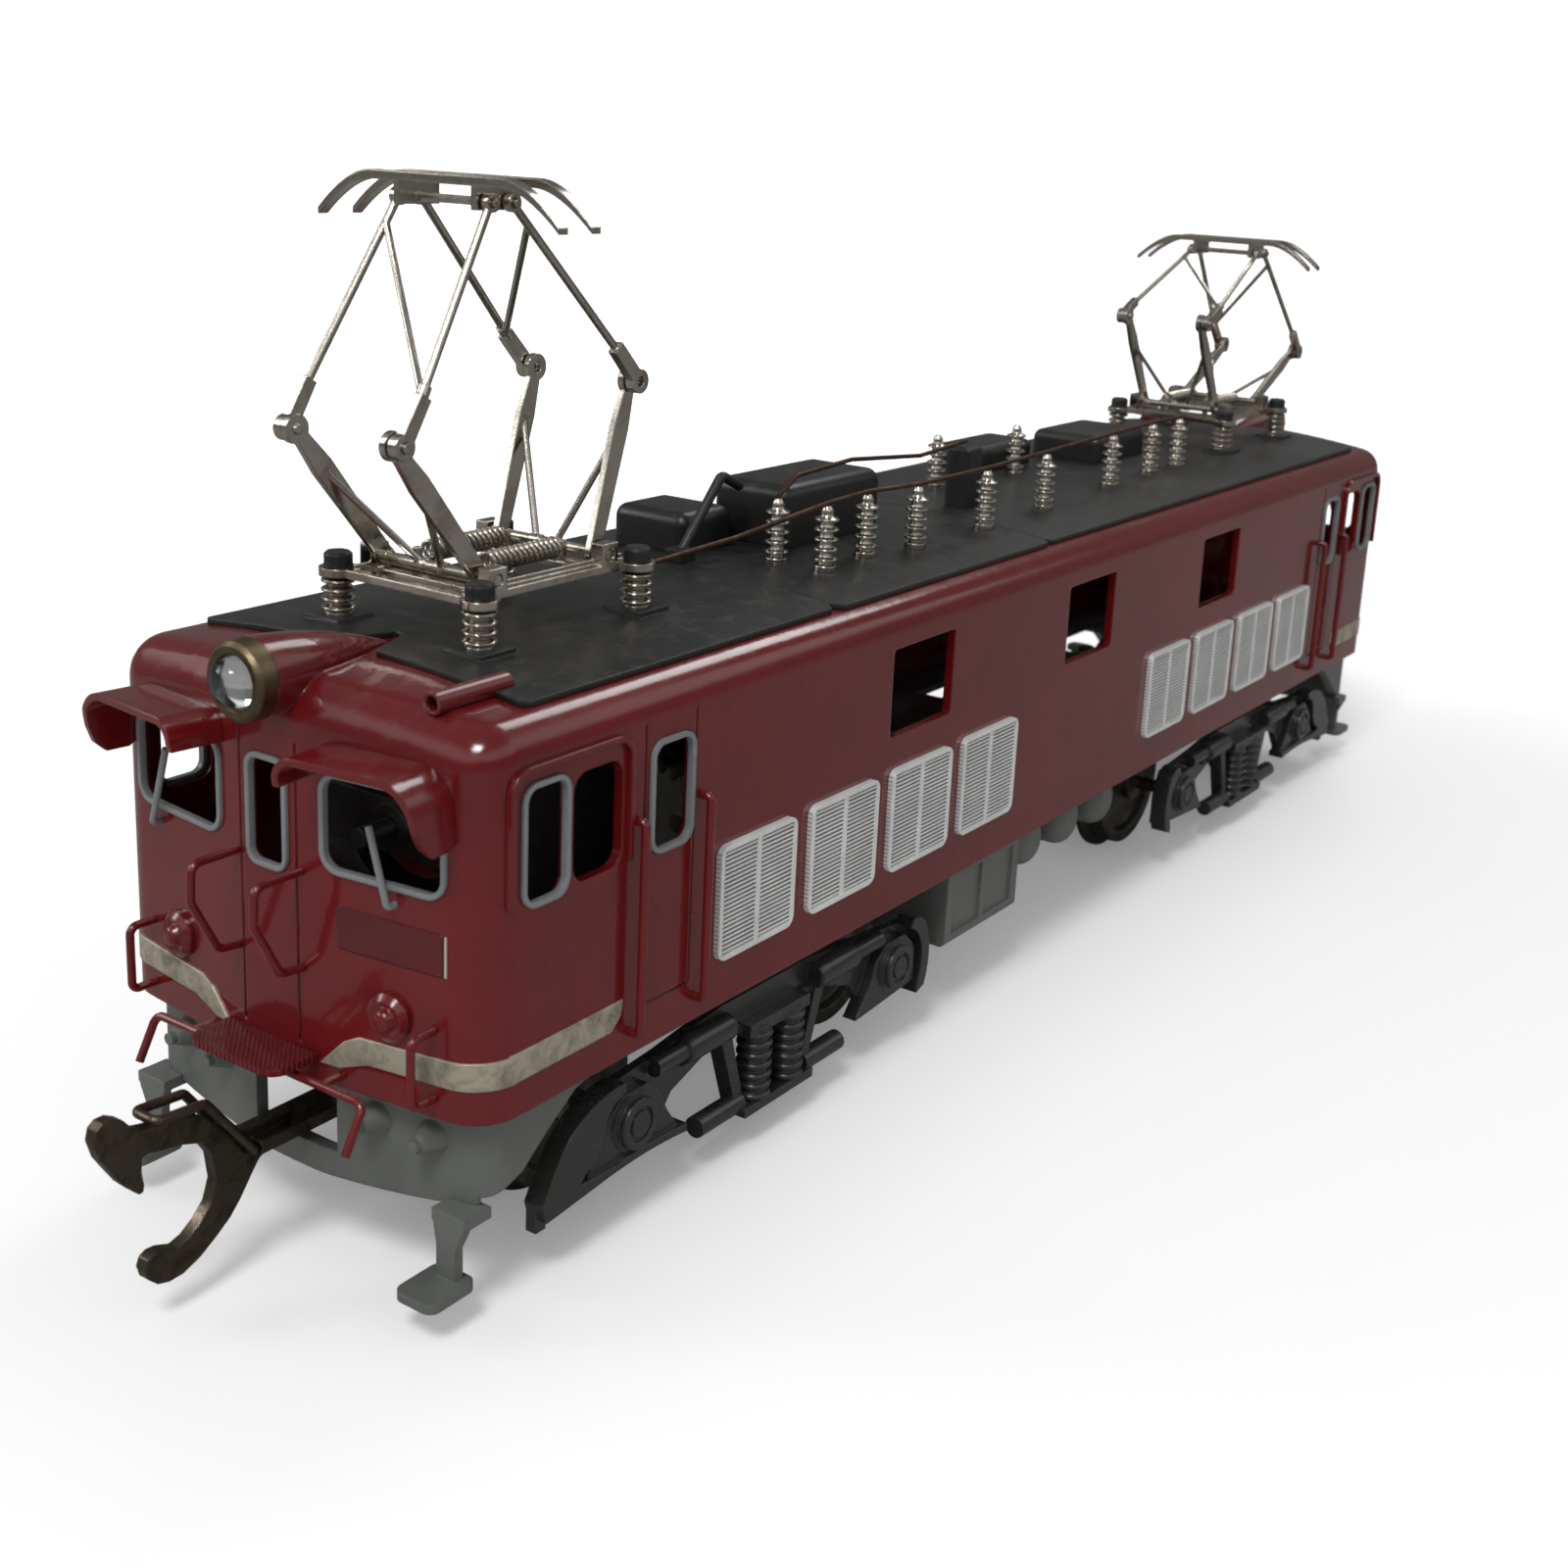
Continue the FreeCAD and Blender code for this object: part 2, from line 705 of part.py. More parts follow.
# ---------------------------------------------------------------- louvres
def louvre_pressing():
    """Rimmed panel with a centre bar and a ladder of thin ribs, on the +X wall."""
    part = new_body("louvre_pressing")
    half = linked("louvre_wid") / 2
    low, top = linked("louvre_low"), linked("louvre_top")
    wall_x = linked("body_wid") / 2
    sheet_x = wall_x + linked("louvre_thk")
    panel = pad(part, rectangle(part, "YZ_Plane", wall_x, -half, half, low, top),
                linked("louvre_thk") + linked("louvre_rim"))
    doc.recompute()
    corners = part.newObject("PartDesign::Fillet", numbered("round_corner"))
    corners.Base = (panel, ["Edge%d" % i for i, edge in enumerate(panel.Shape.Edges, 1)
                            if along(X_AXIS)(edge)])
    corners.Radius = 0.9
    part.Tip = corners
    rim = 0.4
    pocket(part, rectangle(part, "YZ_Plane", sheet_x, -half + rim, half - rim,
                           low + rim, top - rim), 1.0, back=True)
    pad(part, rectangle(part, "YZ_Plane", sheet_x - 0.05, -0.28, 0.28, low + 0.3, top - 0.3),
        0.27)
    rib = pad(part, rectangle(part, "YZ_Plane", sheet_x - 0.05, -half + 0.3, half - 0.3,
                              low + 0.55, low + 0.72), 0.23)
    doc.recompute()
    ribs = part.newObject("PartDesign::LinearPattern", "louvre_ribs")
    ribs.Originals = [rib]
    ribs.Direction = (origin_part(part, "Z_Axis"), [""])
    ribs.Length = 7.5
    ribs.Occurrences = 23
    part.Tip = ribs
    doc.recompute()
    return part


def louvre_panels():
    pressing = louvre_pressing().Shape
    made = []
    for i in range(4):
        panel = pressing.copy()
        panel.translate(Vec(0, -size("louvre_start") + i * size("louvre_pitch")
                            + size("louvre_wid") / 2, 0))
        made += quarters(panel)
    return compound(made)


piece("louvre_panels", louvre_panels())


# ---------------------------------------------------------------- sun visors
def arc_points(centre_x, centre_z, radius, start, end):
    """Nine (x, z) points along an arc between two angles in degrees."""
    angles = [math.radians(start + (end - start) * i / 8) for i in range(9)]
    return [(centre_x + radius * math.cos(angle), centre_z + radius * math.sin(angle))
            for angle in angles]


def sun_visor():
    inner, outer = facet_u(4.3), facet_u(15.1)
    hood = ([(inner, 35.0)]
            + arc_points(inner + 1.6, 35.5, 1.6, 180, 90)
            + arc_points(outer - 2.6, 34.5, 2.6, 90, 0)
            + [(outer + 0.25, 32.2), (outer - 0.25, 32.2)]
            + arc_points(outer - 2.6, 34.5, 2.1, 0, 90)
            + arc_points(inner + 1.6, 35.5, 1.1, 90, 180)
            + [(inner + 0.5, 35.0)])
    # (y, z) side view of the hood
    profile = [(0.0, 40), (0.0, 32.6), (-0.9, 32.0), (-2.2, 32.1), (-3.2, 33.0), (-3.7, 34.2),
               (-4.0, 35.6), (-4.1, 40)]
    return on_facet(plate_xz(hood, 0, -4.4).common(plate_yz(profile, -1, 19)))


piece("sun_visors", compound(quarters(sun_visor())))


# ---------------------------------------------------------------- handrails and rain strips
def end_handrails():
    loop_x, loop_y = 3.0, face_y(3.0)
    loop = bent_rod([(loop_x, loop_y, 27.9), (loop_x, loop_y - 3.9, 27.9),
                     (loop_x, loop_y - 4.0, 25.3), (loop_x, loop_y - 1.9, 21.4),
                     (loop_x, loop_y, 21.2)], WIRE_RAD, 0.8)
    grab_x, grab_y = 13.6, face_y(13.6)
    grab = bent_rod([(grab_x, grab_y, 19.6), (grab_x, grab_y - 2.1, 19.6),
                     (grab_x, grab_y - 2.1, 14.9), (grab_x, grab_y, 14.9)], WIRE_RAD, 0.6)
    return trimmed(quarters(loop) + quarters(grab))


def door_handrails():
    made = []
    rail_x = HALF_WID + 0.95
    for y, low, top in ((-67.5, 15.3, 30.6), (-60.3, 15.4, 30.6)):
        made += quarters(bent_rod([(HALF_WID, y, low), (rail_x, y, low), (rail_x, y, top),
                                   (HALF_WID, y, top)], 0.33, 0.5))
    return compound(made)


def rain_strip():
    """Thin hoop over the side cab windows, open below."""
    outer = side_pane((-79.95, -67.95, 24.0, 36.95, 1.7), 0, HALF_WID - 1.0, HALF_WID + 0.4)
    inner = side_pane((-79.52, -68.38, 22.0, 36.52, 1.3), 0, HALF_WID - 2.0, HALF_WID + 1.0)
    return largest(outer.cut(inner).cut(block(15, 20, -85, -60, 20, 28.0)).cut(BODY))


piece("end_handrails", end_handrails())
piece("door_handrails", door_handrails())
strip_part = feature("rain_strip", rain_strip())
node(group("rain_strips", strip_part, mirror(strip_part, X_AXIS), mirror(strip_part, Y_AXIS),
           mirror(strip_part, X_AXIS, Y_AXIS)), "rain_strips")

# ---------------------------------------------------------------- lamps
# turned part, finished piece, (radius, height outwards) outline, bowed segments
LAMP_PARTS = [
    ("lamp_rim", "headlight_rims",
     [(LAMP_BORE, 0.0), (2.7, 0.0), (linked("lamp_rad"), 1.2), (2.35, 1.5), (1.85, 1.45),
      (LAMP_BORE, 1.2)], None),
    ("lamp_reflector", "headlight_reflectors",
     [(0.0, -3.0), (1.0, -3.0), (1.66, -1.2), (1.66, 0.6), (1.5, 0.6), (1.45, -1.1),
      (0.7, -2.6), (0.0, -2.6)], None),
    ("lamp_lens", "headlight_lenses",
     [(0.0, 0.75), (1.66, 0.75), (1.66, 1.3), (0.25, 2.75), (0.0, 2.75)], {2: (1.2, 2.33)}),
]
for part_label, label, points, arcs in LAMP_PARTS:
    lamp = turned(part_label, points, arcs).Shape.copy()
    lamp.Placement = Place(Vec(0, lamp_y, size("lamp_z")), Rot(X_AXIS, 90))
    piece(label, compound(ends(lamp)))

tail_rad = linked("tail_rad")
tail_lamp = turned("tail_lamp", [(0, 0), (tail_rad, 0), (tail_rad, 0.35), (1.25, 0.75),
                                 (0.85, 0.6), (0.6, 1.05), (0.2, 1.19), (0, 1.19)],
                   {5: (0.42, 1.15)}).Shape.copy()
tail_lamp.Placement = Place(Vec(facet_u(size("tail_x")), 0, size("tail_z")), Rot(X_AXIS, 90))
piece("tail_lamps", compound(quarters(on_facet(tail_lamp))))


# ---------------------------------------------------------------- fittings on the ends
def wiper(low_x, low_z, top_x, top_z):
    return bent_rod([(low_x, face_y(low_x), low_z), (low_x, face_y(low_x) - 0.75, low_z),
                     (top_x, face_y(top_x) - 0.75, top_z)], 0.24, 0.3)


def tread_plate():
    corner_y, tip_y = -HALF_LEN - 2.6, -HALF_LEN - 3.8
    bow_y = -HALF_LEN - 3.42
    points = [(-4.3, -HALF_LEN), (-4.3, corner_y), (-3.0, tip_y), (3.0, tip_y),
              (4.3, corner_y), (4.3, -HALF_LEN), (FOLD_X, -HALF_LEN)]
    arcs = {1: (-3.92, bow_y), 3: (3.92, bow_y)}
    return prism("tread_plate", "XY_Plane", points, 15.0, 0.5, arcs).Shape.cut(BODY)


def uncoupling_lever():
    y, z = -HALF_LEN - 1.5, 14.4
    parts = [bent_rod([(-10.1, y - 1.6, 11.4), (-10.1, y, z), (10.1, y, z),
                       (10.1, y - 1.6, 11.4)], WIRE_RAD, 0.7)]
    for x in (-6.2, 6.2):
        parts.append(straight_rod((x, y, z), (x, face_y(x), z), 0.3))
    return joined(*parts).cut(BODY)


def whistle_cover():
    """Tube on a saddle at the edge of the roof."""
    x = 12.0
    z = arch_z(PLATE_OVER, x)
    tube = round_y(0.75, 6.6, x, -80.8, z).cut(round_y(0.5, 5.0, x, -81.8, z))
    made = joined(tube, block(11.55, 12.45, -80.2, -76.4, z - 3.0, z - 0.5)).cut(BODY)
    return largest(made.cut(roof_front.Shape).cut(half_turn(roof_rear.Shape)))


def trim_band():
    """Thin band that wraps one corner of the body."""
    ring = cut(plan("band_out", -0.12, 14.0, 18.2), plan("band_in", 0.0, 13.0, 19.2))
    doc.recompute()
    side_area = plate_yz([(-79.5, 16.0), (-69.6, 16.0), (-68.6, 16.9), (-68.4, 18.0),
                          (-79.5, 18.0)], 10, 20)
    front_area = plate_xz([(4.4, 14.9), (6.0, 14.9), (8.4, 15.75), (20, 16.0), (20, 18.0),
                           (7.6, 17.5), (6.4, 16.9)], -90, -79)
    return ring.Shape.common(joined(side_area, front_area))


wiper_a = flip_x(wiper(12.2, 27.4, 10.2, 33.2))
wiper_b = wiper(10.6, 27.4, 9.2, 32.5)
piece("wipers", trimmed([wiper_a, wiper_b, half_turn(wiper_a), half_turn(wiper_b)]))
piece("tread_plates", compound(ends(tread_plate())))
piece("uncoupling_levers", compound(ends(uncoupling_lever())))
whistle = whistle_cover()
piece("whistle_covers", compound([whistle, half_turn(whistle)]))
piece("trim_bands", compound(quarters(trim_band())))


# ---------------------------------------------------------------- floor
def floor_plate():
    part = new_body("floor_plate")
    half, half_len = linked("floor_half"), linked("floor_len") / 2
    top = linked("body_low") + linked("floor_thk")
    bevel, well_half, well_len, depth = 2.6, 13.2, 23.0, 3.0
    profile = sketch(part, "XY_Plane", linked("body_low"))
    outline(profile, [(-half + bevel, -half_len), (half - bevel, -half_len),
                      (half, -half_len + bevel), (half, half_len - bevel),
                      (half - bevel, half_len), (-half + bevel, half_len),
                      (-half, half_len - bevel), (-half, -half_len + bevel)])
    pad(part, profile, linked("floor_thk"))
    for end in (-1, 1):
        # two wells over each bogie, either side of its pivot hole
        centre = end * linked("bogie_y")
        for start in (3.0, -26.0):
            well = rectangle(part, "XY_Plane", top, -well_half, well_half,
                             centre + start, centre + start + well_len)
            pocket(part, well, depth)
        hole = sketch(part, "XY_Plane", top)
        circle = hole.addGeometry(Part.Circle(Vec(0, centre, 0), Z_AXIS, 1.45), False)
        fix(hole, circle, 3, (0, centre))
        constrain(hole, 1.45, "Radius", circle)
        pocket(part, hole, depth)
    return part


node(floor_plate(), "floor_plate")


# ---------------------------------------------------------------- pilots and corner steps
def front_pilot():
    low = linked("body_low")
    shell = cut(plan("pilot_out", 1.1, low - 9.5, low, front_inset=1.7),
                plan("pilot_in", 2.2, low - 10.5, low - 1.0, front_inset=2.7))
    doc.recompute()
    # (y, z) area below the rising lower edge of the sides
    below_sides = plate_yz([(-95, 2), (-82.6, 7.2), (-79.4, 7.6), (-77, 8.4), (-74.2, 10.6),
                            (-71.75, 12.3), (-69.4, 12.95), (-60, 13.2), (-60, 0), (-95, 0)],
                           -30, 30)
    # the front apron hangs lower in the middle than at its corners
    apron = [(x, 5.4 + 1.7 * (abs(x) / 16.0) ** 2) for x in range(-16, 17, 2)]
    apron = [(-20, 8.6)] + apron + [(20, 8.6), (20, 0), (-20, 0)]
    made = shell.Shape.common(block(-20, 20, -90, -66, 0, 13.5))
    made = made.cut(plate_xz(apron, -95, -79.2))
    made = made.cut(below_sides.common(block(-30, 30, -80.0, -50, 0, 20)))
    made = made.cut(block(-4, 4, -90, -78, 7.4, 11.6))
    made = made.cut(block(-12.5, 12.5, -79.4, -60, 0, 13.6))
    made = made.cut(block(-3.2, 3.2, -80.5, -74, 5, 13.6))
    # tapered bosses with small noses on the face
    bosses = []
    for x in (7.4, 12.0):
        y = face_y(x) + 1.72
        cone = Part.makeCone(1.4, 0.6, 2.0, Vec(x, y + 0.5, 11.0), Vec(0, -1, 0))
        nose = Part.makeCylinder(0.45, 0.6, Vec(x, y - 1.4, 11.0), Vec(0, -1, 0))
        bosses += [cone, nose, flip_x(cone), flip_x(nose)]
    return largest(joined(made, *bosses))


def corner_step(pilot):
    hanger = plate_xz([(13.2, 7.3), (16.3, 7.3), (16.0, 5.9), (15.4, 4.6), (15.4, 2.2),
                       (13.7, 2.2), (13.7, 4.6)], -82.2, -81.5)
    hanger = hanger.common(block(10, 20, -84, -80.2, 0, 7.0))
    tread = rounded(Z_AXIS, 0.8, 12.7, 16.2, -85.2, -80.9, 1.6, 2.25)
    link = block(13.3, 16.2, -82.2, -79.7, 6.2, 7.0)
    return largest(joined(hanger, tread, link).cut(pilot))


pilot = front_pilot()
piece("pilots", compound(ends(pilot)))
piece("corner_steps", compound(quarters(corner_step(pilot))))


# ---------------------------------------------------------------- boxes and tanks
def battery_box():
    """Box under the floor with two recesses in its outer face."""
    low = (linked("body_wid") / 2 - 9.6, -linked("box_y_far"), linked("box_low"))
    high = (linked("body_wid") / 2 - 1.0, -linked("box_y_near"), linked("body_low"))
    box = doc.addObject("Part::Box", numbered("block"))
    for prop, start, end in zip(("Length", "Width", "Height"), low, high):
        bind(box, prop, end - start)
    move_to(box, low)
    recesses = joined(block(16.2, 18, -20.9, -15.9, 7.0, 12.4),
                      block(16.2, 18, -15.1, -10.1, 7.0, 12.4))
    return cut(fillet(box, 0.6, along(Y_AXIS)), tool(recesses))


def air_tank(y):
    z = size("tank_z")
    tank = round_x(size("tank_rad"), 31.4, -15.7, y, z)
    tank = tank.makeFillet(1.7, circles(tank))
    straps = [block(x - 0.5, x + 0.5, y - 0.8, y + 0.8, z + 2.0, 13.5) for x in (-9.0, 9.0)]
    return joined(tank, *straps)


battery = battery_box()
node(group("battery_boxes", battery, mirror(battery, X_AXIS)), "battery_boxes")
piece("air_tanks", compound([air_tank(y) for y in (-4.2, 3.6, 11.4)]))

# ---------------------------------------------------------------- roof gear
ROOF_GEAR_LOW = 39.0
# x from and to, y from and to, top z, edge radius
ROOF_BOXES = [
    (-9.5, -1.7, -37.8, -30.8, 44.25, 1.1),
    (-4.9, 3.1, -30.0, -15.0, 46.25, 1.2),
    (1.9, 4.4, -1.8, 0.9, 46.65, 0.35),
    (-7.0, 1.5, 32.6, 44.6, 43.95, 1.0),
    (-10.5, -4.5, 16.6, 28.6, 43.55, 1.0),
]


def roof_box(x0, x1, y0, y1, top, radius):
    """Box on the roof with every edge but the bottom ones rounded."""
    box = block(x0, x1, y0, y1, ROOF_GEAR_LOW, top)
    edges = [edge for edge in box.Edges
             if any(abs(edge.Vertexes[i].Point.z - ROOF_GEAR_LOW) >= 1e-6 for i in (0, -1))]
    return box.makeFillet(radius, edges).cut(roof_tool)


def roof_hook():
    """Bent arm rising from a small foot."""
    arm = bent_rod([(-0.5, -39.7, 41.75), (-0.5, -34.6, 47.35), (-0.5, -32.0, 46.15)], 0.42, 0.6)
    foot = block(-1.3, 0.3, -40.8, -38.9, ROOF_GEAR_LOW, 42.05)
    return joined(arm, foot.cut(roof_tool))


piece("roof_equipment", compound([roof_box(*row) for row in ROOF_BOXES] + [roof_hook()]))

# ---------------------------------------------------------------- post insulators, bus wires
POST_TOP = size("post_top")
# (x, y) of each post; the second to the ninth carry the long wire
POSTS = [(4.4, -33.3), (8.9, -32.8), (8.3, -25.8), (9.4, -19.4), (9.4, -7.2), (8.8, 5.6),
         (7.7, 22.6), (7.1, 33.6), (7.3, 40.2), (-4.5, 7.6), (-2.5, 20.6)]


def post_insulators():
    foot_top, ribs, pitch = 41.1, 5, 0.82
    radius = linked("post_rad")
    points = [(0.0, 39.6), (0.95, 39.6), (0.95, foot_top)]
    for i in range(ribs):
        z = foot_top + i * pitch
        points += [(0.55, z + 0.10), (0.62, z + 0.26), (radius, z + 0.40), (radius, z + 0.56),
                   (0.62, z + 0.70)]
    points += [(0.5, foot_top + ribs * pitch + 0.05), (0.5, POST_TOP - 0.35), (0.3, POST_TOP),
               (0.0, POST_TOP)]
    post = turned("post_insulator", points).Shape
    made = []
    for x, y in POSTS:
        placed = post.copy()
        placed.translate(Vec(x, y, 0))
        made.append(placed.cut(roof_tool))
    return compound(made)


def bus_wires():
    z = POST_TOP + 0.22
    end_x, wire_end = INSUL_X + 0.3, PANTO_Y - INSUL_GAP - 1.65
    long_wire = bent_rod([(end_x, -wire_end, 44.1), (7.4, -43.4, 44.6)]
                         + [(x, y, z) for x, y in POSTS[1:9]]
                         + [(end_x, wire_end, 44.1)], 0.2, 1.5)
    short_wire = bent_rod([(4.4, -33.3, z), (4.4, -30.8, z + 1.4), (3.7, -21.4, z + 1.6),
                           (3.5, -9.4, z + 0.6), (3.15, -0.4, POST_TOP + 1.2)], 0.2, 1.2)
    return compound([long_wire, short_wire])


piece("post_insulators", post_insulators())
piece("bus_wires", bus_wires())

# ---------------------------------------------------------------- pantograph insulators
INSUL_TOP = size("insul_top")
BASE_TOP = INSUL_TOP + 0.6
PANTO_SPOTS = insulator_spots(-PANTO_Y) + insulator_spots(PANTO_Y)


def pantograph_insulators():
    radius = size("insul_rad")
    foot_top, ribs = PAD_TOP + 0.15, 4
    pitch = (INSUL_TOP - foot_top) / ribs
    points = [(0.0, PAD_TOP + 0.01), (1.0, PAD_TOP + 0.01), (1.0, foot_top)]
    for i in range(ribs):
        z = foot_top + i * pitch
        points += [(0.68, z + 0.04), (radius - 0.22, z + 0.1), (radius, z + 0.24),
                   (radius, z + 0.36), (radius - 0.22, z + 0.5), (0.68, z + pitch - 0.08)]
    points += [(0.68, INSUL_TOP), (0.0, INSUL_TOP)]
    insulator = turned("pantograph_insulator", points).Shape
    made = []
    for x, y in PANTO_SPOTS:
        placed = insulator.copy()
        placed.translate(Vec(x, y, 0))
        made.append(placed.cut(roof_tool))
    return compound(made)


def insulator_cap(x, y):
    cap = round_z(1.0, 1.1, x, y, BASE_TOP)
    return cap.makeChamfer(0.2, [edge for edge in circles(cap)
                                 if edge.CenterOfMass.z > INSUL_TOP + 1.3])


piece("pantograph_insulators", pantograph_insulators())
piece("insulator_caps", compound([insulator_cap(x, y) for x, y in PANTO_SPOTS]))

# ---------------------------------------------------------------- pantograph bases, springs
SHAFT_Y = size("panto_shaft")
PANTO_Z = size("panto_z")
SPRING_X = 2.7


def span(side, near, far):
    """The x range between two distances from the middle, on one side."""
    return sorted((side * near, side * far))


def pantograph_base(centre):
    low, top = INSUL_TOP, BASE_TOP
    parts = []
    for end in (-1, 1):
        beam_y, shaft_y = centre + end * INSUL_GAP, centre + end * SHAFT_Y
        parts.append(block(-INSUL_X, INSUL_X, beam_y - 0.5, beam_y + 0.5, low, top))
        parts += [round_z(1.35, top - low, side * INSUL_X, beam_y, low) for side in (-1, 1)]
        parts.append(block(-5.6, 5.6, shaft_y - 0.4, shaft_y + 0.4, low, top - 0.15))
    for side in (-1, 1):
        x0, x1 = span(side, 5.05, 6.15)
        front, rear = centre - INSUL_GAP, centre + INSUL_GAP
        parts.append(block(x0, x1, front, rear, low, top))
        # upright flange on the inner edge of the side rail
        flange_x = x0 if side > 0 else x1 - 0.2
        parts.append(block(flange_x, flange_x + 0.2, front, rear, low, top + 0.35))
        for end in (-1, 1):
            y = centre + end * SHAFT_Y
            parts.append(block(x0, x1, y - 0.85, y + 0.85, top - 0.05, PANTO_Z + 0.85))
    made = joined(*parts)
    holes = [round_x(0.45, 14, -7, centre + end * SHAFT_Y, PANTO_Z) for end in (-1, 1)]
    holes += [round_z(0.5, 1.5, x, y, INSUL_TOP - 0.2) for x, y in insulator_spots(centre)]
    for hole in holes:
        made = made.cut(hole)
    spring_ends = (centre - 4.55, centre + 4.55)
    anchors = [block(side * SPRING_X - 0.25, side * SPRING_X + 0.25, y - 0.25, y + 0.25,
                     low, PANTO_Z + 0.75) for side in (-1, 1) for y in spring_ends]
    bars = [block(-5.3, 5.3, y - 0.3, y + 0.3, low, low + 0.5) for y in spring_ends]
    return joined(made, *anchors, *bars)


def pantograph_spring(x, centre):
    pitch, length, coil_rad, wire_rad = 0.52, 7.4, 0.62, 0.16
    helix = Part.makeHelix(pitch, length, coil_rad)
    profile = Part.Wire([Part.makeCircle(wire_rad, Vec(coil_rad, 0, 0), Y_AXIS)])
    coil = Part.Wire(helix.Edges).makePipeShell([profile], True, True)
    if coil.ShapeType != "Solid":
        coil = Part.Solid(coil)
    coil.Placement = Place(Vec(x, centre - length / 2, PANTO_Z + 0.35), Rot(X_AXIS, -90))
    return coil


piece("pantograph_bases", compound([pantograph_base(-PANTO_Y), pantograph_base(PANTO_Y)]))
piece("pantograph_springs", compound([pantograph_spring(side * SPRING_X, end * PANTO_Y)
                                      for side in (-1, 1) for end in (-1, 1)]))

# ---------------------------------------------------------------- pantograph linkages
# points here are (y, z); arm A is on the -Y side and arm B on the +Y side
LOWER_LEN = size("lower_arm")
UPPER_LEN = size("upper_arm")
HEAD_HALF = size("head_half")
ARM_X = size("arm_x")
SLEEVE_X = size("sleeve_x")
UPPER_TOP_X = 4.15


def apex(first, second, reach):
    """Upper point at equal reach from two points, the second at the larger y."""
    dy, dz = second[0] - first[0], second[1] - first[1]
    gap = math.hypot(dy, dz)
    rise = math.sqrt(reach * reach - gap * gap / 4)
    return ((first[0] + second[0]) / 2 - rise * dz / gap,
            (first[1] + second[1]) / 2 + rise * dy / gap)


def between(start, end, share):
    return (start[0] + (end[0] - start[0]) * share, start[1] + (end[1] - start[1]) * share)


def strap(start, end, start_half, end_half, x0, x1):
    """Flat tapered strap between two points."""
    run = Vec(0, end[0] - start[0], end[1] - start[1])
    run.normalize()
    normal = Vec(0, -run.z, run.y)
    first, last = Vec(x0, *start), Vec(x0, *end)
    return polygon_face([first + normal * start_half, last + normal * end_half,
                         last - normal * end_half, first - normal * start_half]
                        ).extrude(Vec(x1 - x0, 0, 0))


def pin(radius, side, near, far, point):
    """Cylinder across, between two distances from the middle."""
    x0, x1 = span(side, near, far)
    return round_x(radius, x1 - x0, x0, *point)


def lower_arm(shaft, elbow, with_pin):
    parts = [round_x(0.4, 12.2, -6.1, *shaft)]
    for side in (-1, 1):
        x0, x1 = span(side, ARM_X - 0.25, ARM_X + 0.25)
        waist = between(shaft, elbow, 0.72)
        parts.append(strap(shaft, waist, 0.62, 0.8, x0, x1))
        parts.append(strap(waist, elbow, 0.8, 0.45, x0, x1))
        parts.append(pin(0.7, side, ARM_X - 0.25, ARM_X + 0.25, shaft))
        parts.append(pin(1.0, side, ARM_X - 0.25, ARM_X + 0.25, elbow))
        # slanted stay to a collar near the middle of the shaft
        parts.append(straight_rod((side * ARM_X, *between(shaft, elbow, 0.68)),
                                  (side * 0.9, *shaft), 0.26))
        parts.append(round_x(0.5, 0.9, side * 0.9 - 0.45, *shaft))
        if with_pin:
            parts.append(pin(0.33, side, ARM_X - 0.45, SLEEVE_X + 0.62, elbow))
    made = joined(*parts)
    if not with_pin:
        made = made.cut(round_x(0.4, 14, -7, *elbow))
    return made


def upper_arm(elbow, top, lean):
    """Pair of converging rods with one diagonal; lean is the side the diagonal starts on."""
    parts = []
    # distances along the arm
    rod_start, brace_end = 3.2, UPPER_LEN - 2.0

    def at(distance):
        return between(elbow, top, distance / UPPER_LEN)

    def rod_x(distance):
        share = (distance - rod_start) / (UPPER_LEN - rod_start)
        return SLEEVE_X + (UPPER_TOP_X - SLEEVE_X) * share

    for side in (-1, 1):
        near, far = SLEEVE_X - 0.33, SLEEVE_X + 0.42
        parts.append(pin(0.88, side, near, far, elbow))
        parts.append(strap(at(0.0), at(3.6), 0.55, 0.5, *span(side, near, far)))
        parts.append(straight_rod((side * SLEEVE_X, *at(rod_start)),
                                  (side * UPPER_TOP_X, *at(UPPER_LEN)), 0.3))
        parts.append(pin(0.62, side, UPPER_TOP_X - 0.25, UPPER_TOP_X + 0.3, top))
    parts.append(straight_rod((lean * rod_x(3.6), *at(3.6)),
                              (-lean * rod_x(brace_end), *at(brace_end)), 0.25))
    parts.append(straight_rod((lean * rod_x(3.1), *at(3.1)), (lean * rod_x(4.3), *at(4.3)), 0.45))
    made = joined(*parts).cut(round_x(0.38, 14, -7, *elbow))
    return made.cut(round_x(0.34, 14, -7, *top))


def collector(centre_y, centre_z):
    """One collector strip: flat in the middle, horns drooping at both ends."""
    upper, lower = [], []
    for i in range(-20, 21):
        x = 10.9 * i / 20
        out = max(0.0, abs(x) - 6.0) / 4.9
        z = centre_z - 2.7 * out ** 1.7
        half_thk = 0.32 - 0.1 * out
        upper.append((x, z + half_thk))
        lower.append((x, z - half_thk))
    return plate_xz(upper + lower[::-1], centre_y - 0.45, centre_y + 0.45)


def pantograph_head(pivots, centre):
    y, z = centre
    parts = [collector(y - 1.6, z + 1.35), collector(y + 1.6, z + 1.35)]
    for side in (-1, 1):
        parts.append(block(*span(side, 3.25, 3.75), y - 1.9, y + 1.9, z - 0.5, z + 1.2))
        parts += [pin(0.28, side, 3.3, 4.75, pivot) for pivot in pivots]
    parts.append(round_x(0.3, 7.0, -3.5, y, z))
    return joined(*parts)


